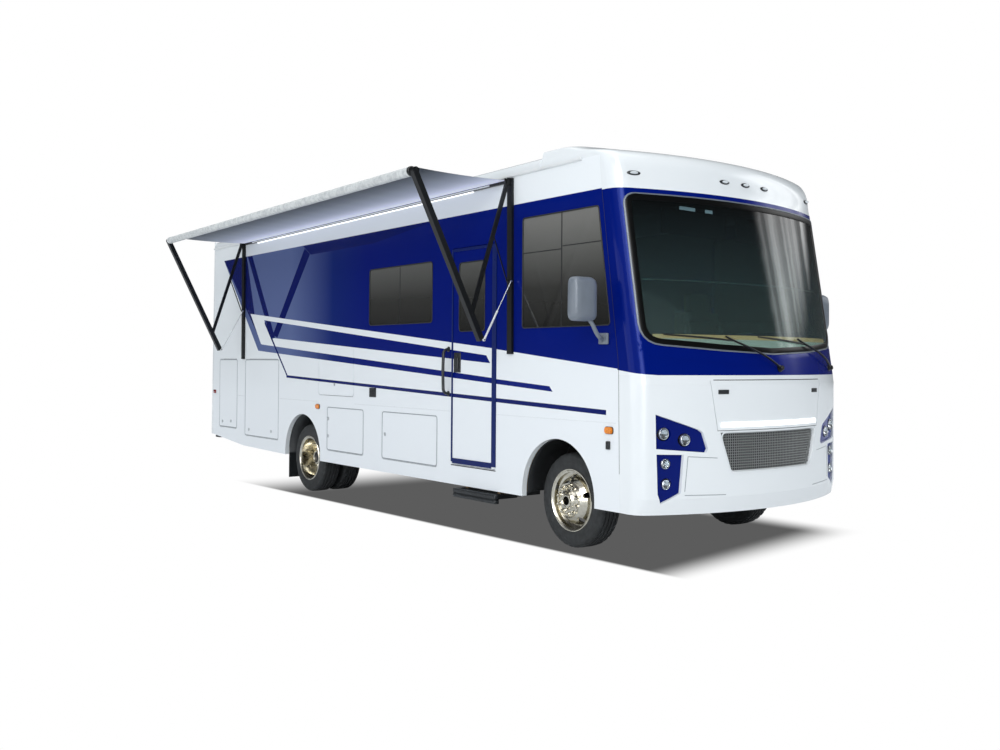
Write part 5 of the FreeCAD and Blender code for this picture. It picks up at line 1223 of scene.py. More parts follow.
class MOTORHOME_OT_wheels(bpy.types.Operator):
    """Adds treaded tyres, wheel lips, hub caps, nut covers and black arch liners"""
    bl_idname = "motorhome.wheels"
    bl_label = "Wheels"

    def execute(self, context):
        for word, side in SIDES:
            low, high = box_of("front_tyre_" + word)
            centre = (low + high) / 2
            tyre = tyre_form(Form(), centre)
            piece("front_tread_" + word, tyre, tyre_rubber(), "front_wheel_" + word,
                  ("front_tyre_" + word,), crease=28)
            bright = lip_ring(Form(), centre, side, 0.104)
            lug_nuts(bright, centre, side, 0.118, 0.134)
            hub_cap(bright, centre, side, 0.166, 0.062)
            bright.turned([(0.1345, 0.1345), (0.139, 0.133), (0.141, 0.129), (0.139, 0.126),
                           (0.1345, 0.1255)], centre, (side, 0, 0), 72, caps=False)
            piece("front_wheel_trim_" + word, bright, polished_stainless(), "front_wheel_" + word)
            low, high = box_of("rear_tyres_" + word)
            middle = (low + high) / 2
            pair = Form()
            for step in (-TWIN_STEP, TWIN_STEP):
                tyre_form(pair, (middle.x + step, middle.y, middle.z))
            piece("rear_treads_" + word, pair, tyre_rubber(), "rear_wheels_" + word,
                  ("rear_tyres_" + word,), crease=28)
            rear = lip_ring(Form(), middle, side, TWIN_STEP + 0.104)
            lug_nuts(rear, middle, side, 0.118, 0.012)
            hub_cap(rear, middle, side, 0.152, 0.082)
            piece("rear_wheel_trim_" + word, rear, polished_stainless(), "rear_wheels_" + word)
            liners = Form()
            for middle_y, deep, inner_reach in zip(ARCHES, (0.50, 0.62), (0.56, ARCH_REACH)):
                rings = []
                for into, reach in ((0.049, ARCH_REACH), (0.20, inner_reach), (deep, inner_reach)):
                    run = arc((middle_y, ARCH_LEVEL), reach, 0, 180, 24)
                    run = [(middle_y + reach, LINER_FOOT)] + run + [(middle_y - reach, LINER_FOOT)]
                    rings.append([(side * (WALL - into), y, z) for y, z in run])
                liners.skin(rings)
            lining = piece("arch_liners_" + word, liners, bay_liner(), crease=60)
            sheet = lining.modifiers.new("thickness", "SOLIDIFY")
            sheet.thickness = 0.003
        return {"FINISHED"}


# Nose: grille, lamps, latches, marker lamps, the hood's seam and painted shade lines on the bumper

# The grille's outline and the lamps' (x, z, radius) in body metres, and the fascia's bow.
GRILLE = [(-0.500, 0.711), (0.500, 0.711), (0.605, 1.024), (-0.605, 1.024)]
GRILLE_RIMS = ((0.008, 0.05, -0.003), (0.0, 0.05, -0.001), (-0.010, 0.045, 0.022), (-0.010, 0.045, 0.030))
LAMPS = ((0.893, 0.974, 0.043), (1.058, 1.024, 0.043), (1.044, 0.791, 0.038), (1.040, 0.632, 0.036))
LAMP_DEPTH, LAMP_TURN = 0.022, 0.16
CLUSTER = 2
FASCIA_FRONT, FASCIA_BOW = -1.315, 2.5
NOSE_BAR = ((0.004, 1.063), (-0.008, 1.067), (-0.013, 1.085), (-0.008, 1.103), (0.004, 1.107))
MARKER_HEIGHT = 3.077
# Runs of painted shade along the edges of the bumper's shallow scoop, as (x, z) pairs.
BUMPER_SHADE_LINES = (((0.882, 0.845), (0.633, 0.827)), ((0.907, 0.547), (0.554, 0.537)),
                ((0.882, 0.845), (0.907, 0.574)))


def fascia_y(x):
    """The fascia's slow curve across the nose."""
    return FASCIA_FRONT + FASCIA_BOW - math.sqrt(FASCIA_BOW * FASCIA_BOW - x * x)


def wire_mesh(form, depth):
    """Upright and level wires woven square behind the grille frame."""
    pitch, wire = sizes().grille_pitch, sizes().grille_wire
    low, high = GRILLE[0][1], GRILLE[2][1]
    narrow, wide = GRILLE[1][0], GRILLE[2][0]
    for k in range(int(2 * wide / pitch) + 1):
        x = -wide + (k + 0.5) * pitch
        foot = low if abs(x) < narrow else low + (abs(x) - narrow) / (wide - narrow) * (high - low)
        if high - foot > pitch / 2:
            y = fascia_y(x) + depth
            form.tube([(x, y, foot), (x, y, high)], wire / 2, 6)
    for k in range(int((high - low) / pitch) + 1):
        z = low + (k + 0.5) * pitch
        span = narrow + (wide - narrow) * ((z - low) / (high - low))
        if z < high:
            run = [span * (2 * i / 16 - 1) for i in range(17)]
            form.tube([(x, fascia_y(x) + depth - wire * 0.7, z) for x in run], wire / 2, 6)
    return form


class MOTORHOME_OT_nose(bpy.types.Operator):
    """Adds the wire grille, the head lamps, the hood's bar and latches, marker lamps, the hood's seam and
    painted shade lines on the bumper
    """
    bl_idname = "motorhome.nose"
    bl_label = "Nose"

    def execute(self, context):
        mesh = wire_mesh(Form(), 0.026)
        piece("grille_wire_mesh", mesh, galvanised_wire(), instead_of=("grille",))
        chamfer = Form()
        rims = finer([softened(moved_out(GRILLE, off), radius) for off, radius, depth in GRILLE_RIMS])
        chamfer.face_strip([[(x, fascia_y(x) + depth, z) for x, z in rim]
                            for rim, (off, radius, depth) in zip(rims, GRILLE_RIMS)], caps=False)
        piece("grille_chamfer", chamfer, white_gelcoat())
        backing = Form()
        backing.plate([(x, fascia_y(0.55) + 0.05, z) for x, z in GRILLE], (0, 0.004, 0))
        piece("grille_backing", backing, black_abs())
        reflector, lens, ring, dots = Form(), Form(), Form(), Form()
        for side in (-1, 1):
            for k, (x, z, radius) in enumerate(LAMPS):
                lean = Vector((side * LAMP_TURN, -1, 0)).normalized()
                seat = Vector((side * x, fascia_y(x) + LAMP_DEPTH, z))
                reflector.turned([(-0.03, 0.0), (-0.028, radius * 0.3), (-0.02, radius * 0.62),
                                  (-0.006, radius * 0.9), (0.0, radius * 0.94)], seat, lean, 40)
                lens.turned([(0.001, radius * 0.93), (0.006, radius * 0.92), (0.011, radius * 0.8),
                             (0.016, radius * 0.5), (0.018, 0.0)], seat, lean, 40)
                ring.turned([(-0.004, radius * 0.93), (0.010, radius * 0.93), (0.013, radius * 0.98),
                             (0.011, radius * 1.05), (-0.004, radius * 1.08)], seat, lean, 40, caps=False)
                if k != CLUSTER:
                    dots.turned([(-0.026, 0.012), (-0.008, 0.012), (-0.002, 0.008), (0.0, 0.0)],
                                seat, lean, 18)
                    continue
                for turn in range(7):
                    reach = 0.0 if turn == 0 else radius * 0.55
                    angle = math.radians(60 * turn)
                    spot = seat + Vector((math.cos(angle) * reach, -0.004, math.sin(angle) * reach))
                    dots.turned([(0.0, 0.008), (0.006, 0.0075), (0.010, 0.004), (0.011, 0.0)], spot, lean, 14)
        piece("headlamp_reflectors", reflector, chrome_reflector())
        piece("headlamp_lenses", lens, lamp_lens(), instead_of=("headlamps",))
        piece("headlamp_rings", ring, anodised_aluminium())
        piece("headlamp_bulbs", dots, lamp_lens())
        bar = Form()
        bar.face_strip([[(x, fascia_y(x) + depth, z) for depth, z in NOSE_BAR]
                        for x in (-0.60 + 1.2 * k / 24 for k in range(25))])
        piece("nose_bar", bar, lamp_glow(), "hood_lid")
        latches = Form()
        for x in (-0.579, 0.579):
            point, normal = NOSE.from_front(x, 1.344)
            latches.block(point - Vector((0.050, 0.006, 0.017)), point + Vector((0.050, 0.002, 0.017)), 0.012,
                          Matrix.Rotation(math.atan2(normal.x, -normal.y), 4, "Z"), 3)
            knob = point + Vector((0.032 * (1 if x < 0 else -1), 0, 0))
            latches.turned([(0.0, 0.013), (0.009, 0.012), (0.012, 0.009), (0.012, 0.0)], knob, normal, 20)
        piece("hood_latches", latches, black_abs(), "hood_lid")
        markers, bases = Form(), Form()
        for x in (-1.10, -0.25, 0.0, 0.26, 1.10):
            point, normal = NOSE.from_front(x, MARKER_HEIGHT)
            for form, grow, tall in ((bases, 1.0, 0.010), (markers, 0.6, 0.026)):
                wide, high = 0.055 * grow, 0.019 * grow
                rings = []
                for off, share in ((-0.004, 1.0), (tall * 0.5, 0.97), (tall * 0.85, 0.8), (tall, 0.5)):
                    rings.append([on_nose(x + wide * share * math.cos(a),
                                          MARKER_HEIGHT + high * share * math.sin(a)) + normal * off
                                  for a in angles(24)])
                form.face_strip(rings)
        piece("roof_marker_lenses", markers, opal_lens())
        piece("roof_marker_bases", bases, black_abs())
        # Grey lines of painted shade along the bumper's scoop.
        lines = Form()
        for side in (-1, 1):
            for start, end in BUMPER_SHADE_LINES:
                run = [[a + (b - a) * (k / 6) for a, b in zip(start, end)] for k in range(7)]
                lines.tube([on_nose(side * x, z, -0.0005) for x, z in run], 0.003, 6)
        piece("bumper_shade_lines", lines, seam_shadow())
        seam = Form()
        corner = box_of("hood_panel")[1]
        seam.tube([on_nose(corner.x * 0.96 * (k / 12 - 1), corner.z + 0.004, -0.001) for k in range(25)],
                  0.0035, 8)
        piece("hood_seam", seam, gasket_rubber())
        return {"FINISHED"}


# Wipers and mirrors

# Each wiper's pivot, arm tip, and blade ends, in (x, z) body metres.
WIPERS = (((0.055, 1.529), (-0.502, 1.780), (-1.028, 1.792), (-0.398, 1.748)),
          ((1.011, 1.533), (0.378, 1.774), (-0.150, 1.786), (0.563, 1.730)))


class MOTORHOME_OT_wipers(bpy.types.Operator):
    """Adds the two wipers parked on the windscreen"""
    bl_idname = "motorhome.wipers"
    bl_label = "Wipers"

    def execute(self, context):
        for number, (pivot, tip, start, end) in enumerate(WIPERS):
            wiper = Form()
            arm, blade, spine = [], [], []
            for k in range(13):
                share = k / 12
                x, z = (a + (b - a) * share for a, b in zip(pivot, tip))
                arm.append(on_nose(x, z, 0.018 + 0.03 * math.sin(math.pi * min(share * 1.15, 1))))
            wiper.tube(arm, 0.0125, 8, flat=0.6)
            seat, normal = NOSE.from_front(*pivot)
            wiper.turned([(-0.004, 0.030), (0.008, 0.030), (0.013, 0.022), (0.036, 0.020), (0.042, 0.014),
                          (0.042, 0.0)], seat, normal, 24)
            for k in range(13):
                share = k / 12
                x, z = (a + (b - a) * share for a, b in zip(start, end))
                blade.append(on_nose(x, z, 0.006))
                spine.append(on_nose(x, z, 0.012 + 0.014 * (1 - (2 * share - 1) ** 2)))
            wiper.tube(blade, 0.005, 8, flat=1.3)
            wiper.tube(spine, 0.006, 8, flat=0.7)
            for k in (2, 6, 10):
                wiper.tube([blade[k], spine[k]], 0.005, 6)
            piece("wiper_%d" % (number + 1), wiper, powder_coat_black())
        return {"FINISHED"}


# The middle of a mirror head, half its size, its shell as (back, share of size, drop), how high its
# foot sits and the arm's run as (out from the wall, y and z from the head's and foot's places).
MIRROR = (1.5, -0.62, 2.065)
MIRROR_HALF = (0.121, 0.055, 0.1725)
MIRROR_SHELL = ((1.0, 0.95, 0.0), (0.86, 1.0, 0.0), (0.0, 1.0, 0.0), (-0.5, 0.95, 0.004),
                (-0.85, 0.78, 0.012), (-0.99, 0.5, 0.02), (-1.0, 0.2, 0.02))
MIRROR_FOOT = 1.76
MIRROR_ARM = ((0.012, 0.03, 0.0), (0.045, 0.018, 0.002), (0.088, -0.004, 0.012), (0.125, -0.008, 0.05),
              (0.16, -0.005, 0.11))


class MOTORHOME_OT_mirrors(bpy.types.Operator):
    """Builds the mirror heads, their glass, arms and feet"""
    bl_idname = "motorhome.mirrors"
    bl_label = "Mirrors"

    def execute(self, context):
        heads, glass = Form(), Form()
        mx, my, mz = MIRROR
        wide, deep, tall = MIRROR_HALF
        for word, side in SIDES:
            x, base = side * mx, side * WALL
            rings = []
            for back, share, drop in MIRROR_SHELL:
                outline = rectangle(-wide * share, -tall * share, wide * share, tall * share)
                outline[3] = (-wide * share * 0.96, tall * share)
                rings.append([(x + a, my + deep * back, mz + b - drop)
                              for a, b in softened(outline, 0.062 * share, 6)])
            heads.face_strip(rings)
            for low, high in ((mz - tall * 0.28, mz + tall * 0.88), (mz - tall * 0.88, mz - tall * 0.36)):
                outline = softened(rectangle(x - wide * 0.86, low, x + wide * 0.86, high), 0.035, 5)
                glass.plate([(a, my + deep - 0.001, b) for a, b in outline], (0, 0.003, 0), 0.001)
            run = [(side * (WALL + out), my + along, MIRROR_FOOT + up) for out, along, up in MIRROR_ARM]
            heads.tube(smooth_run(run + [(side * (WALL + 0.196), my, mz - tall + 0.02)], 5), 0.017, 16)
            pad = side * (WALL + 0.022)
            heads.block((min(base, pad), my - 0.025, MIRROR_FOOT - 0.045),
                        (max(base, pad), my + 0.085, MIRROR_FOOT + 0.045), 0.01, steps=3)
            heads.turned([(0.0, 0.024), (0.018, 0.024), (0.026, 0.019)],
                         (side * (WALL + 0.02), my + 0.03, MIRROR_FOOT), (side, 0, 0), 24)
        piece("mirror_heads", heads, mirror_abs(), instead_of=("mirrors",), crease=40)
        piece("mirror_glasses", glass, mirror_glass())
        return {"FINISHED"}


# Awning

# The arms' (y), the fold's height, the roller's (x, z) and radius, how far its ends stand inside the
# arms, and the cloth's hem from the arms and its line on the wall track.
AWNING_FRONT, AWNING_REAR = 0.670, 6.720
HINGE_HEIGHT = 3.178
ROLLER = (-2.250, 3.155)
ROLLER_RADIUS = 0.042
ROLLER_INSET = 0.029
HEM_INSET = 0.045
TRACK = (-1.274, 3.195)
CAP_PROFILE = ((0.034, 0.034), (0.030, 0.0412), (0.020, 0.0418), (0.008, 0.0412), (0.003, 0.036),
               (0.001, 0.018))


def tipped(point):
    """Turns a point of the level awning about the front hinge, down to the rear like the gutter."""
    axis = JOINTS["awning_fold"]["axis"]
    angle = math.atan2(-axis[2], axis[1]) if axis[1] > 0 else math.atan2(axis[2], -axis[1])
    along, up = point[1] - AWNING_FRONT, point[2] - HINGE_HEIGHT
    return Vector((point[0], AWNING_FRONT + along * math.cos(angle) + up * math.sin(angle),
                   HINGE_HEIGHT - along * math.sin(angle) + up * math.cos(angle)))


class TippedForm(Form):
    """A form drawn in the level awning's frame."""

    def face_strip(self, rings, closed=True, caps=True):
        return super().face_strip([[tipped(p) for p in ring] for ring in rings], closed, caps)


def roller_ring(y, radius, steps):
    """A ring about the roller's axis."""
    return [(ROLLER[0] + radius * math.cos(a), y, ROLLER[1] + radius * math.sin(a)) for a in angles(steps)]


def cloth_point(share, y, drop):
    """A point of the cloth, a share of the way from the track to the roller's top."""
    top = ROLLER[1] + ROLLER_RADIUS
    return (TRACK[0] + (ROLLER[0] - TRACK[0]) * share, y, TRACK[1] + (top - TRACK[1]) * share - drop)


class MOTORHOME_OT_awning(bpy.types.Operator):
    """Hangs the awning cloth from the wall track to its roller and caps the roller's ends"""
    bl_idname = "motorhome.awning"
    bl_label = "Awning"

    def execute(self, context):
        front, rear = AWNING_FRONT + HEM_INSET, AWNING_REAR - HEM_INSET
        cloth = TippedForm()
        rows = []
        across, along = 24, 120
        for i in range(across + 1):
            share = i / across
            hang = sizes().cloth_sag * 4 * share * (1 - share)
            row = []
            for k in range(along + 1):
                hem = 1 - 0.35 * math.exp(-min(k, along - k) / 5)
                slack = 0.0016 * math.sin(k * 0.9) * math.sin(math.pi * share)
                row.append(cloth_point(share, front + (rear - front) * k / along, hang * hem - slack))
            rows.append(row)
        cloth.skin(rows)
        sheet = piece("awning_cloth", cloth, awning_vinyl(),
                      instead_of=("awning_fabric",))
        thick = sheet.modifiers.new("thickness", "SOLIDIFY")
        thick.thickness = 0.0012
        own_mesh(sheet)
        roll = TippedForm()
        profile = [(front, 0.030)]
        for k in range(61):
            y = front + (rear - front) * k / 60
            profile.append((y, ROLLER_RADIUS - 0.0015 + 0.0007 * math.sin(k * 1.7)))
        profile.append((rear, 0.030))
        roll.face_strip([roller_ring(y, radius, 40) for y, radius in profile])
        piece("awning_roller_cloth", roll, awning_vinyl(), "awning_outer", ("awning_roller",))
        for word, end, way, coat, slot in (("front", AWNING_FRONT, 1, powder_coat_black(), "satin_black"),
                                           ("rear", AWNING_REAR, -1, powder_coat_white(), "white_plastic")):
            cap = TippedForm()
            cap.face_strip([roller_ring(end + way * (ROLLER_INSET + along), radius, 36)
                            for along, radius in CAP_PROFILE])
            piece("awning_end_cap_" + word, cap, coat, "awning_outer")
        hem = TippedForm()
        for y in (front + 0.012, rear - 0.012):
            rows = []
            for i in range(13):
                share = i / 12
                sag = sizes().cloth_sag * 4 * share * (1 - share) * 0.68
                rows.append([cloth_point(share, y + way * 0.011, sag + 0.002) for way in (-1, 1)])
            hem.skin(rows)
        edge = piece("awning_hems", hem, awning_vinyl())
        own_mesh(edge)
        return {"FINISHED"}


# The lamp strip's lower line and the gutters' front and rear, in (y, z), and their section.
STRIP = ((1.265, 3.158), (6.287, 3.113))
GUTTER = ((-0.209, 3.242), (7.813, 3.158))
GUTTER_ENDS = (-0.30, 7.80)
GUTTER_SECTION = ((-0.001, -0.018), (0.014, -0.016), (0.020, -0.008), (0.020, 0.008), (0.016, 0.010),
                  (0.013, -0.004), (-0.001, -0.004))
TRACK_COVER = ((-1.2722, 3.175), (-1.2752, 3.177), (-1.2752, 3.188), (-1.2722, 3.190))


class MOTORHOME_OT_rail(bpy.types.Operator):
    """Adds the awning's lamp strip, its track's cover and the roof gutters"""
    bl_idname = "motorhome.rail"
    bl_label = "Awning rail"

    def execute(self, context):
        strip = Form()
        low = list(STRIP)
        high = [(y, z + sizes().lamp_bar / 2) for y, z in reversed(STRIP)]
        strip.plate([(-WALL - 0.0005, y, z) for y, z in low + high], (-0.010, 0, 0), 0.003)
        piece("awning_lamp_strip", strip, lamp_glow())
        cover = TippedForm()
        cover.face_strip([[(x, y, z) for x, z in TRACK_COVER] for y in (0.98, 6.42)])
        piece("awning_track_cover", cover, powder_coat_white())
        gutter = Form()
        (front, high), (rear, low) = GUTTER
        for side in (-1, 1):
            rings = []
            for k in range(25):
                y = GUTTER_ENDS[0] + (GUTTER_ENDS[1] - GUTTER_ENDS[0]) * k / 24
                z = high - (y - front) / (rear - front) * (high - low)
                rings.append([(side * (WALL + out), y, z + up) for out, up in GUTTER_SECTION])
            gutter.face_strip(rings)
        piece("roof_gutters", gutter, powder_coat_white())
        return {"FINISHED"}


# Roof and tail

# The shrouded units' middles (y) and flanks (x), the vents' (y, half size), the flues' (x, y), and
# how far a vent lid rises at each share of its size.
ROOF_UNITS, UNIT_FLANK = (2.4, 6.2), 0.352
VENTS = ((4.3, 0.19), (1.2, 0.19), (5.1, 0.12))
FLUES = ((0.75, 3.4), (-0.7, 5.3))
LID_PROFILE = ((0.03, 1.0), (0.06, 1.0), (0.085, 0.9), (0.098, 0.6), (0.1, 0.2))


class MOTORHOME_OT_roof(bpy.types.Operator):
    """Adds louvres to the roof units, and vents and flues to the roof"""
    bl_idname = "motorhome.roof"
    bl_label = "Roof"

    def execute(self, context):
        roof = Surface("roof_panel")
        top = box_of("roof_units")[1].z
        louvres = Form()
        for middle in ROOF_UNITS:
            for x in (-UNIT_FLANK, UNIT_FLANK):
                for k in range(6):
                    y = middle - 0.34 + k * 0.115
                    louvres.block((x - 0.006, y, top - 0.17), (x + 0.006, y + 0.07, top - 0.06), 0.004)
        piece("roof_unit_louvres", louvres, black_abs())
        lids, frames = Form(), Form()
        for y, half in VENTS:
            z = roof.height(0, y)
            rim = half + 0.02
            frames.block((-rim, y - rim, z - 0.03), (rim, y + rim, z + 0.035), 0.02)
            rings = []
            for rise, share in LID_PROFILE:
                size = half * share
                outline = softened(rectangle(-size, y - size, size, y + size), 0.04 * share, 4)
                rings.append([(a, b, z + rise) for a, b in outline])
            lids.face_strip(rings)
        for x, y in FLUES:
            z = roof.height(x, y)
            frames.turned([(-0.02, 0.05), (0.06, 0.05), (0.065, 0.07), (0.09, 0.07), (0.1, 0.05), (0.1, 0.0)],
                          (x, y, z), (0, 0, 1), 32)
        piece("roof_vent_lids", lids, roof_abs())
        piece("roof_vent_frames", frames, roof_abs())
        return {"FINISHED"}


class MOTORHOME_OT_tail(bpy.types.Operator):
    """Adds the rear lamps' lenses, marker lamps and camera"""
    bl_idname = "motorhome.tail"
    bl_label = "Tail"

    def execute(self, context):
        back = Surface("rear_cap")
        lamps, small = Form(), Form()
        for side in (-1, 1):
            for z in (1.02, 1.12, 1.22):
                point, normal = back.from_rear(side * 1.06, z)
                radius = 0.052
                lamps.turned([(0.0, radius), (0.012, radius * 0.96), (0.02, radius * 0.7), (0.023, 0.0)],
                             point + normal * 0.014, normal, 32)
        piece("tail_lamp_lenses", lamps, red_lens())
        markers = Form()
        for x in (-1.08, -0.15, 0.0, 0.15, 1.08):
            point, normal = back.from_rear(x, 3.05)
            small.turned([(-0.004, 0.036), (0.006, 0.036), (0.008, 0.03), (0.008, 0.0)], point, normal, 24)
            markers.turned([(0.004, 0.027), (0.016, 0.026), (0.022, 0.016), (0.023, 0.0)], point, normal, 24)
        piece("tail_marker_lenses", markers, red_lens())
        piece("tail_marker_bases", small, black_abs())
        eye = Form()
        point, normal = back.from_rear(0.0, 2.86)
        eye.block(point + Vector((-0.05, -0.02, -0.03)), point + Vector((0.05, 0.045, 0.035)), 0.014, steps=3)
        eye.turned([(0.0, 0.018), (0.052, 0.018), (0.052, 0.013), (0.046, 0.010), (0.046, 0.0)], point,
                   normal, 24)
        piece("rear_camera", eye, black_abs())
        return {"FINISHED"}


# Cab


def cushion(name, centre, size, crown, body="root"):
    """A padded block: soft corners and a crowned face, as a subdivided cage."""
    form = Form()
    x, y, z = centre
    a, b, c = (s / 2 for s in size)
    rings = []
    for up, share in ((-1.0, 0.86), (-0.82, 0.97), (-0.4, 1.0), (0.3, 1.0), (0.72, 0.97), (0.9, 0.88)):
        outline = softened(rectangle(-a * share, -b * share, a * share, b * share), min(a, b) * 0.4, 4)
        rings.append([(x + p, y + q, z + c * up) for p, q in outline])
    for share, rise in ((0.7, 1.0), (0.4, 1.0 + crown * 0.7), (0.1, 1.0 + crown)):
        outline = softened(rectangle(-a * share, -b * share, a * share, b * share),
                           min(a, b) * 0.4 * share, 4)
        rings.append([(x + p, y + q, z + c * rise) for p, q in outline])
    form.face_strip(rings)
    made = piece(name, form, seat_vinyl(), body, crease=80)
    smooth = made.modifiers.new("padding", "SUBSURF")
    smooth.levels = smooth.render_levels = 1
    return made


class MOTORHOME_OT_cab(bpy.types.Operator):
    """Adds padding and arm rests to the cab seats, the dash's hoods, ceiling lamps and visors"""
    bl_idname = "motorhome.cab"
    bl_label = "Cab"

    def execute(self, context):
        for word, side in SIDES:
            x = side * 0.7
            cushion("seat_cushion_" + word, (x, -0.01, 1.462), (0.50, 0.48, 0.075), 0.25)
            bolsters = Form()
            for way in (-1, 1):
                middle = x + way * 0.235
                bolsters.block((middle - 0.035, 0.140, 1.47), (middle + 0.035, 0.215, 1.95), 0.03, steps=3)
            bolsters.block((x - 0.19, 0.150, 1.50), (x + 0.19, 0.205, 1.98), 0.025, steps=3)
            piece("seat_back_pads_" + word, bolsters, seat_vinyl())
            rests = Form()
            for way in (-1, 1):
                middle = x + way * 0.30
                rests.block((middle - 0.03, -0.16, 1.60), (middle + 0.03, 0.20, 1.66), 0.025, steps=3)
            piece("arm_rests_" + word, rests, black_abs())
        dash = Form()
        dash.block((0.42, -0.80, 1.45), (1.02, -0.66, 1.60), 0.05, steps=4)
        dash.block((-0.30, -0.76, 1.40), (0.30, -0.64, 1.56), 0.03, steps=3)
        piece("gauge_hood", dash, dash_skin())
        for word, coat, low, high in (("ledge", dash_sill(), 1.69, 1.765),
                                      ("strip", dash_tan(), 1.765, 1.80)):
            strip = Form()
            strip.skin([[on_nose(-1.10 + 2.2 * k / 40, z, -0.028) for k in range(41)] for z in (low, high)])
            piece("dash_" + word, strip, coat)
        bar = Form()
        bar.tube([on_nose(-1.12 + 2.24 * k / 40, 2.235, -0.05) for k in range(41)], 0.005, 8)
        piece("shade_bar", bar, roof_abs())
        lamps = Form()
        for x, half in ((-0.276, 0.095), (-0.006, 0.045)):
            lamps.block((x - half, -0.56, 2.85), (x + half, -0.55, 2.912), 0.004)
        piece("cab_ceiling_lamps", lamps, ceiling_glow())
        shades = Form()
        for x in (-0.45, 0.45):
            shades.block((x - 0.38, -0.80, 2.62), (x + 0.38, -0.788, 2.83), 0.006)
        piece("sun_visors", shades, dash_skin())
        return {"FINISHED"}


# Stage


# The photograph's camera: its place in body metres, its turns in radians, its lens and its shift.
EYE = Vector((-6.604069, -6.602356, 1.569548))
YAW, PITCH, ROLL = 0.69838072, 0.01674495, 0.00582817
SENSOR_MM, LENS_MM = 36.0, 36.449
SHIFT = (-0.0751, -0.0295)
FLOOR_REACH = 60
CLEAN_WHITE = (1.0, 1.0, 1.0, 1.0)
# Each light's name, place and aim in body metres, width, height and watts.
SOFTBOXES = (("key_softbox", (-9.0, -6.0, 6.5), (0, 2.5, 1.6), 7.0, 4.0, 350),
             ("side_softbox", (-11.0, 4.0, 2.6), (0, 4.0, 1.8), 8.0, 3.5, 140),
             ("front_softbox", (-1.0, -11.0, 4.5), (0, 0, 1.6), 5.0, 3.0, 60),
             ("top_softbox", (-1.0, 3.0, 9.5), (0, 3.0, 0), 10.0, 6.0, 150))
# The floor shadow's near edge with its lean, and the span over which its front edge turns softer.
SHADOW_EDGE, SHADOW_LEAN = 1.315, 0.0279
SHADOW_SPAN = (-1.2 + MIDLINE, 1.4 + MIDLINE)


def times(tree, a, b):
    return add(tree, "Math", {0: a, 1: b}, operation="MULTIPLY").outputs[0]


def smooth_rise(tree, value, start, end):
    """A smooth rise from 0 at the start of a span to 1 at its end."""
    return add(tree, "MapRange", {0: value, 1: start, 2: end}, interpolation_type="SMOOTHSTEP").outputs[0]


def between(tree, value, low, high, edge):
    """One between two values, fading out over an edge on either side."""
    return times(tree, smooth_rise(tree, value, low - edge, low + edge),
                 smooth_rise(tree, value, high + edge, high - edge))


def studio_air():
    """White to the camera, a soft grey dome on the paint, bright panels for glass and gloss."""
    world = bpy.data.worlds.new("studio_air")
    world.use_nodes = True
    tree = world.node_tree
    tree.nodes.clear()
    path = add(tree, "LightPath")
    facing = add(tree, "TexCoord").outputs["Generated"]
    parts = add(tree, "SeparateXYZ", {0: facing})
    up = parts.outputs[2]
    soft = tones(tree, add(tree, "MapRange", {0: up, 1: -1.0, 2: 1.0}).outputs[0],
                 (0.0, linear("#8C9195")), (0.49, linear("#A9AFB4")), (0.53, linear("#CDD3D8")),
                 (1.0, linear("#F2F6FA")))
    turn = add(tree, "Math", {0: parts.outputs[1], 1: parts.outputs[0]}, operation="ARCTAN2").outputs[0]
    streaks = add(tree, "TexNoise", {"W": turn, "Scale": 9.0, "Detail": 2.0}, noise_dimensions="1D")
    streaks = add(tree, "MapRange", {0: streaks.outputs[0], 1: 0.35, 2: 0.65, 3: 0.7, 4: 3.6}).outputs[0]
    far_panel = times(tree, between(tree, turn, -0.52, 0.06, 0.08), streaks)
    far_panel = times(tree, far_panel, between(tree, up, 0.22, 0.62, 0.05))
    near_panel = times(tree, between(tree, turn, -2.58, -2.26, 0.12), 8.0)
    behind = add(tree, "VectorMath", {0: facing, 1: (-0.92, -0.38, 0.08)}, operation="DOT_PRODUCT")
    behind = add(tree, "MapRange", {0: behind.outputs["Value"], 1: 0.74, 2: 0.93, 3: 0.0, 4: 0.85})
    glossy = add(tree, "MapRange", {0: up, 1: 0.70, 2: 0.95, 3: 0.07, 4: 0.75}).outputs[0]
    for panel in (far_panel, near_panel, behind.outputs[0]):
        glossy = add(tree, "Math", {0: panel, 1: glossy}, operation="ADD").outputs[0]
    glossy = add(tree, "CombineColor", {0: glossy, 1: glossy, 2: glossy}).outputs[0]
    lit = add(tree, "Mix", {0: path.outputs["Is Glossy Ray"], 6: soft, 7: glossy}, data_type="RGBA")
    shown = add(tree, "Mix", {0: path.outputs["Is Camera Ray"], 6: lit.outputs[2], 7: CLEAN_WHITE},
                data_type="RGBA")
    air = tree.nodes.new("ShaderNodeBackground")
    tree.links.new(shown.outputs[2], air.inputs[0])
    air.inputs[1].default_value = 1.0
    end = tree.nodes.new("ShaderNodeOutputWorld")
    tree.links.new(air.outputs[0], end.inputs[0])
    return world


def photo_camera():
    """The camera that sees the part as the photograph does."""
    ahead = Vector((math.cos(PITCH) * math.sin(YAW), math.cos(PITCH) * math.cos(YAW), math.sin(PITCH)))
    level = Vector((math.cos(YAW), -math.sin(YAW), 0))
    over = level.cross(ahead)
    right = level * math.cos(ROLL) + over * math.sin(ROLL)
    upward = over * math.cos(ROLL) - level * math.sin(ROLL)
    lens = bpy.data.cameras.new("photo_camera")
    lens.sensor_width, lens.lens = SENSOR_MM, LENS_MM
    lens.shift_x, lens.shift_y = SHIFT
    camera = bpy.data.objects.new("photo_camera", lens)
    turn = Matrix((right, upward, -ahead)).transposed()
    camera.matrix_world = Matrix.Translation(place(*EYE)) @ turn.to_4x4()
    return camera


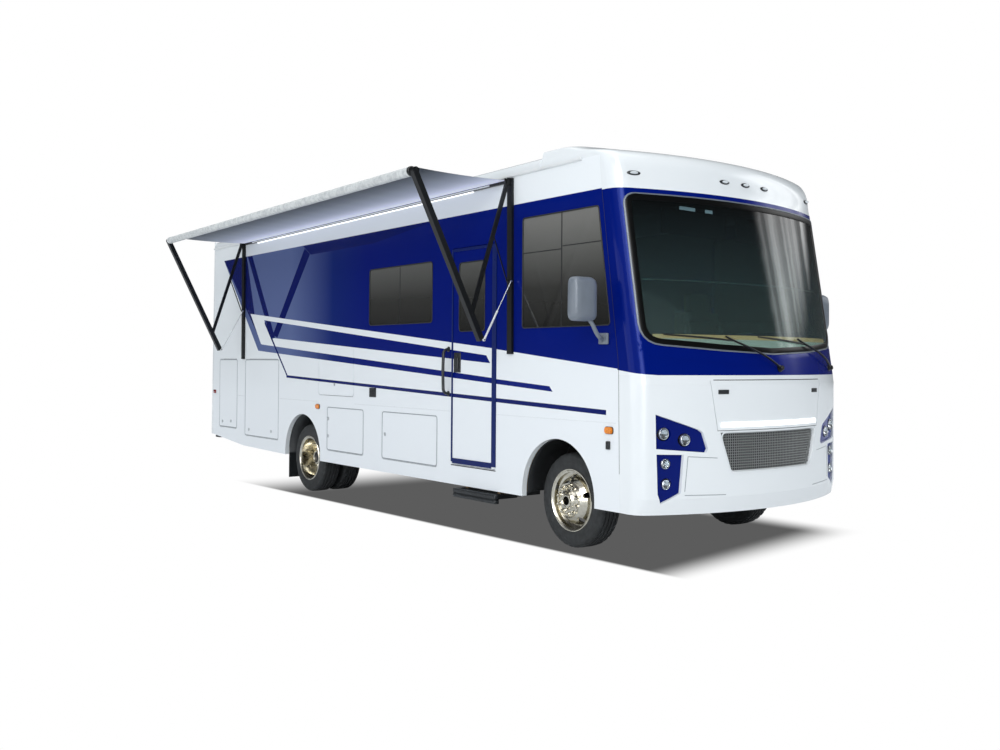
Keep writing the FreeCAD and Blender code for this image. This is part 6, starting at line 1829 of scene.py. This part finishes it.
class MOTORHOME_OT_stage(bpy.types.Operator):
    """Sets the floor, the soft lights and the camera of the photograph"""
    bl_idname = "motorhome.stage"
    bl_label = "Stage and camera"

    def execute(self, context):
        scene = context.scene
        mesh = bpy.data.meshes.new("studio_floor")
        corners = rectangle(-FLOOR_REACH, -FLOOR_REACH, FLOOR_REACH, FLOOR_REACH)
        mesh.from_pydata([place(x, y, 0) for x, y in corners], [], [(0, 1, 2, 3)])
        floor = bpy.data.objects.new("studio_floor", mesh)
        context.collection.objects.link(floor)
        floor.data.materials.append(studio_floor())
        scene.world = studio_air()
        for name, where, aim, wide, tall, power in SOFTBOXES:
            light = bpy.data.lights.new(name, "AREA")
            light.shape = "RECTANGLE"
            light.size, light.size_y, light.energy = wide, tall, power
            lamp = bpy.data.objects.new(name, light)
            lamp.location = place(*where)
            lamp.rotation_euler = (Vector(aim) - Vector(where)).to_track_quat("-Z", "Y").to_euler()
            lamp.visible_glossy = name != "front_softbox"
            context.collection.objects.link(lamp)
        camera = photo_camera()
        context.collection.objects.link(camera)
        scene.camera = camera
        scene.view_settings.view_transform = "Standard"
        return {"FINISHED"}


@finish
def studio_floor():
    """Seamless white paper: clean white to the camera, with a painted flat grey shadow of the vehicle on it.
    """
    made, tree, skin = material("seamless_paper_white", Roughness=0.9, IOR=1.4)
    parts = add(tree, "SeparateXYZ", {0: object_place(tree)})
    across, along = parts.outputs[0], parts.outputs[1]
    fibre = add(tree, "TexNoise", {"Vector": object_place(tree), "Scale": per_metre(400)})
    paper = tones(tree, fibre.outputs[0], (0.0, linear("#E9EAEB")), (1.0, linear("#EDEEEF")))
    tree.links.new(paper, skin.inputs["Base Color"])
    # Painted shadow: the vehicle's shadow is drawn into the floor's colour, flat grey with soft edges.
    slant = add(tree, "Math", {0: along, 1: SHADOW_LEAN, 2: SHADOW_EDGE - MIDLINE - SHADOW_LEAN * AXLE},
                operation="MULTIPLY_ADD")
    inside = add(tree, "Math", {0: across, 1: slant.outputs[0]}, operation="ADD")
    start, end = SHADOW_SPAN
    soft = add(tree, "MapRange", {0: across, 1: start, 2: end, 3: 0.48, 4: 0.65})
    ahead = add(tree, "MapRange", {0: across, 1: start, 2: end, 3: 1.52 - AXLE, 4: 1.16 - AXLE})
    ahead = add(tree, "Math", {0: along, 1: ahead.outputs[0]}, operation="ADD")
    ahead = add(tree, "Math", {0: ahead.outputs[0], 1: soft.outputs[0]}, operation="DIVIDE")
    shade = smooth_rise(tree, inside.outputs[0], 0.0, 0.07)
    for value, outer, inner in ((ahead.outputs[0], 0.0, 1.0), (across, 1.7 + MIDLINE, 1.1 + MIDLINE),
                                (along, 6.6 + AXLE, 4.6 + AXLE)):
        shade = times(tree, shade, smooth_rise(tree, value, outer, inner))
    tone = add(tree, "Mix", {0: shade, 6: CLEAN_WHITE, 7: linear("#5C5C5C")}, data_type="RGBA")
    glow_with_painted_light = add(tree, "Emission", {0: tone.outputs[2], 1: 1.0})
    seen = add(tree, "LightPath").outputs["Is Camera Ray"]
    shown = add(tree, "MixShader", {0: seen, 1: skin.outputs[0], 2: glow_with_painted_light.outputs[0]})
    output = [node for node in tree.nodes if node.bl_idname == "ShaderNodeOutputMaterial"][0]
    tree.links.new(shown.outputs[0], output.inputs["Surface"])
    return made


# Panel and run


OPERATORS = (MOTORHOME_OT_finishes, MOTORHOME_OT_glazing, MOTORHOME_OT_entry, MOTORHOME_OT_hatches,
             MOTORHOME_OT_wheels, MOTORHOME_OT_nose, MOTORHOME_OT_wipers, MOTORHOME_OT_mirrors,
             MOTORHOME_OT_awning, MOTORHOME_OT_rail, MOTORHOME_OT_roof, MOTORHOME_OT_tail, MOTORHOME_OT_cab,
             MOTORHOME_OT_stage)


class MOTORHOME_PT_panel(bpy.types.Panel):
    """Sidebar panel with the motorhome's sizes, colours and steps"""
    bl_idname = "MOTORHOME_PT_panel"
    bl_label = "Motorhome"
    bl_space_type = "VIEW_3D"
    bl_region_type = "UI"
    bl_category = "Motorhome"

    def draw(self, context):
        for group in (context.scene.motorhome_sizes, context.scene.motorhome_colours):
            box = self.layout.box()
            for name in group.bl_rna.properties.keys():
                if name not in ("rna_type", "name"):
                    box.prop(group, name)
        for operator in OPERATORS:
            self.layout.operator(operator.bl_idname)


CLASSES = (MotorhomeSizes, MotorhomeColours) + OPERATORS + (MOTORHOME_PT_panel,)


def register():
    for made in CLASSES:
        bpy.utils.register_class(made)
    bpy.types.Scene.motorhome_sizes = bpy.props.PointerProperty(type=MotorhomeSizes)
    bpy.types.Scene.motorhome_colours = bpy.props.PointerProperty(type=MotorhomeColours)


def unregister():
    del bpy.types.Scene.motorhome_colours
    del bpy.types.Scene.motorhome_sizes
    for made in reversed(CLASSES):
        bpy.utils.unregister_class(made)


def main():
    register()
    bpy.ops.motorhome.finishes()
    bpy.ops.motorhome.glazing()
    bpy.ops.motorhome.entry()
    bpy.ops.motorhome.hatches()
    bpy.ops.motorhome.wheels()
    bpy.ops.motorhome.nose()
    bpy.ops.motorhome.wipers()
    bpy.ops.motorhome.mirrors()
    bpy.ops.motorhome.awning()
    bpy.ops.motorhome.rail()
    bpy.ops.motorhome.roof()
    bpy.ops.motorhome.tail()
    bpy.ops.motorhome.cab()
    bpy.ops.motorhome.stage()


if __name__ == "__main__":
    main()
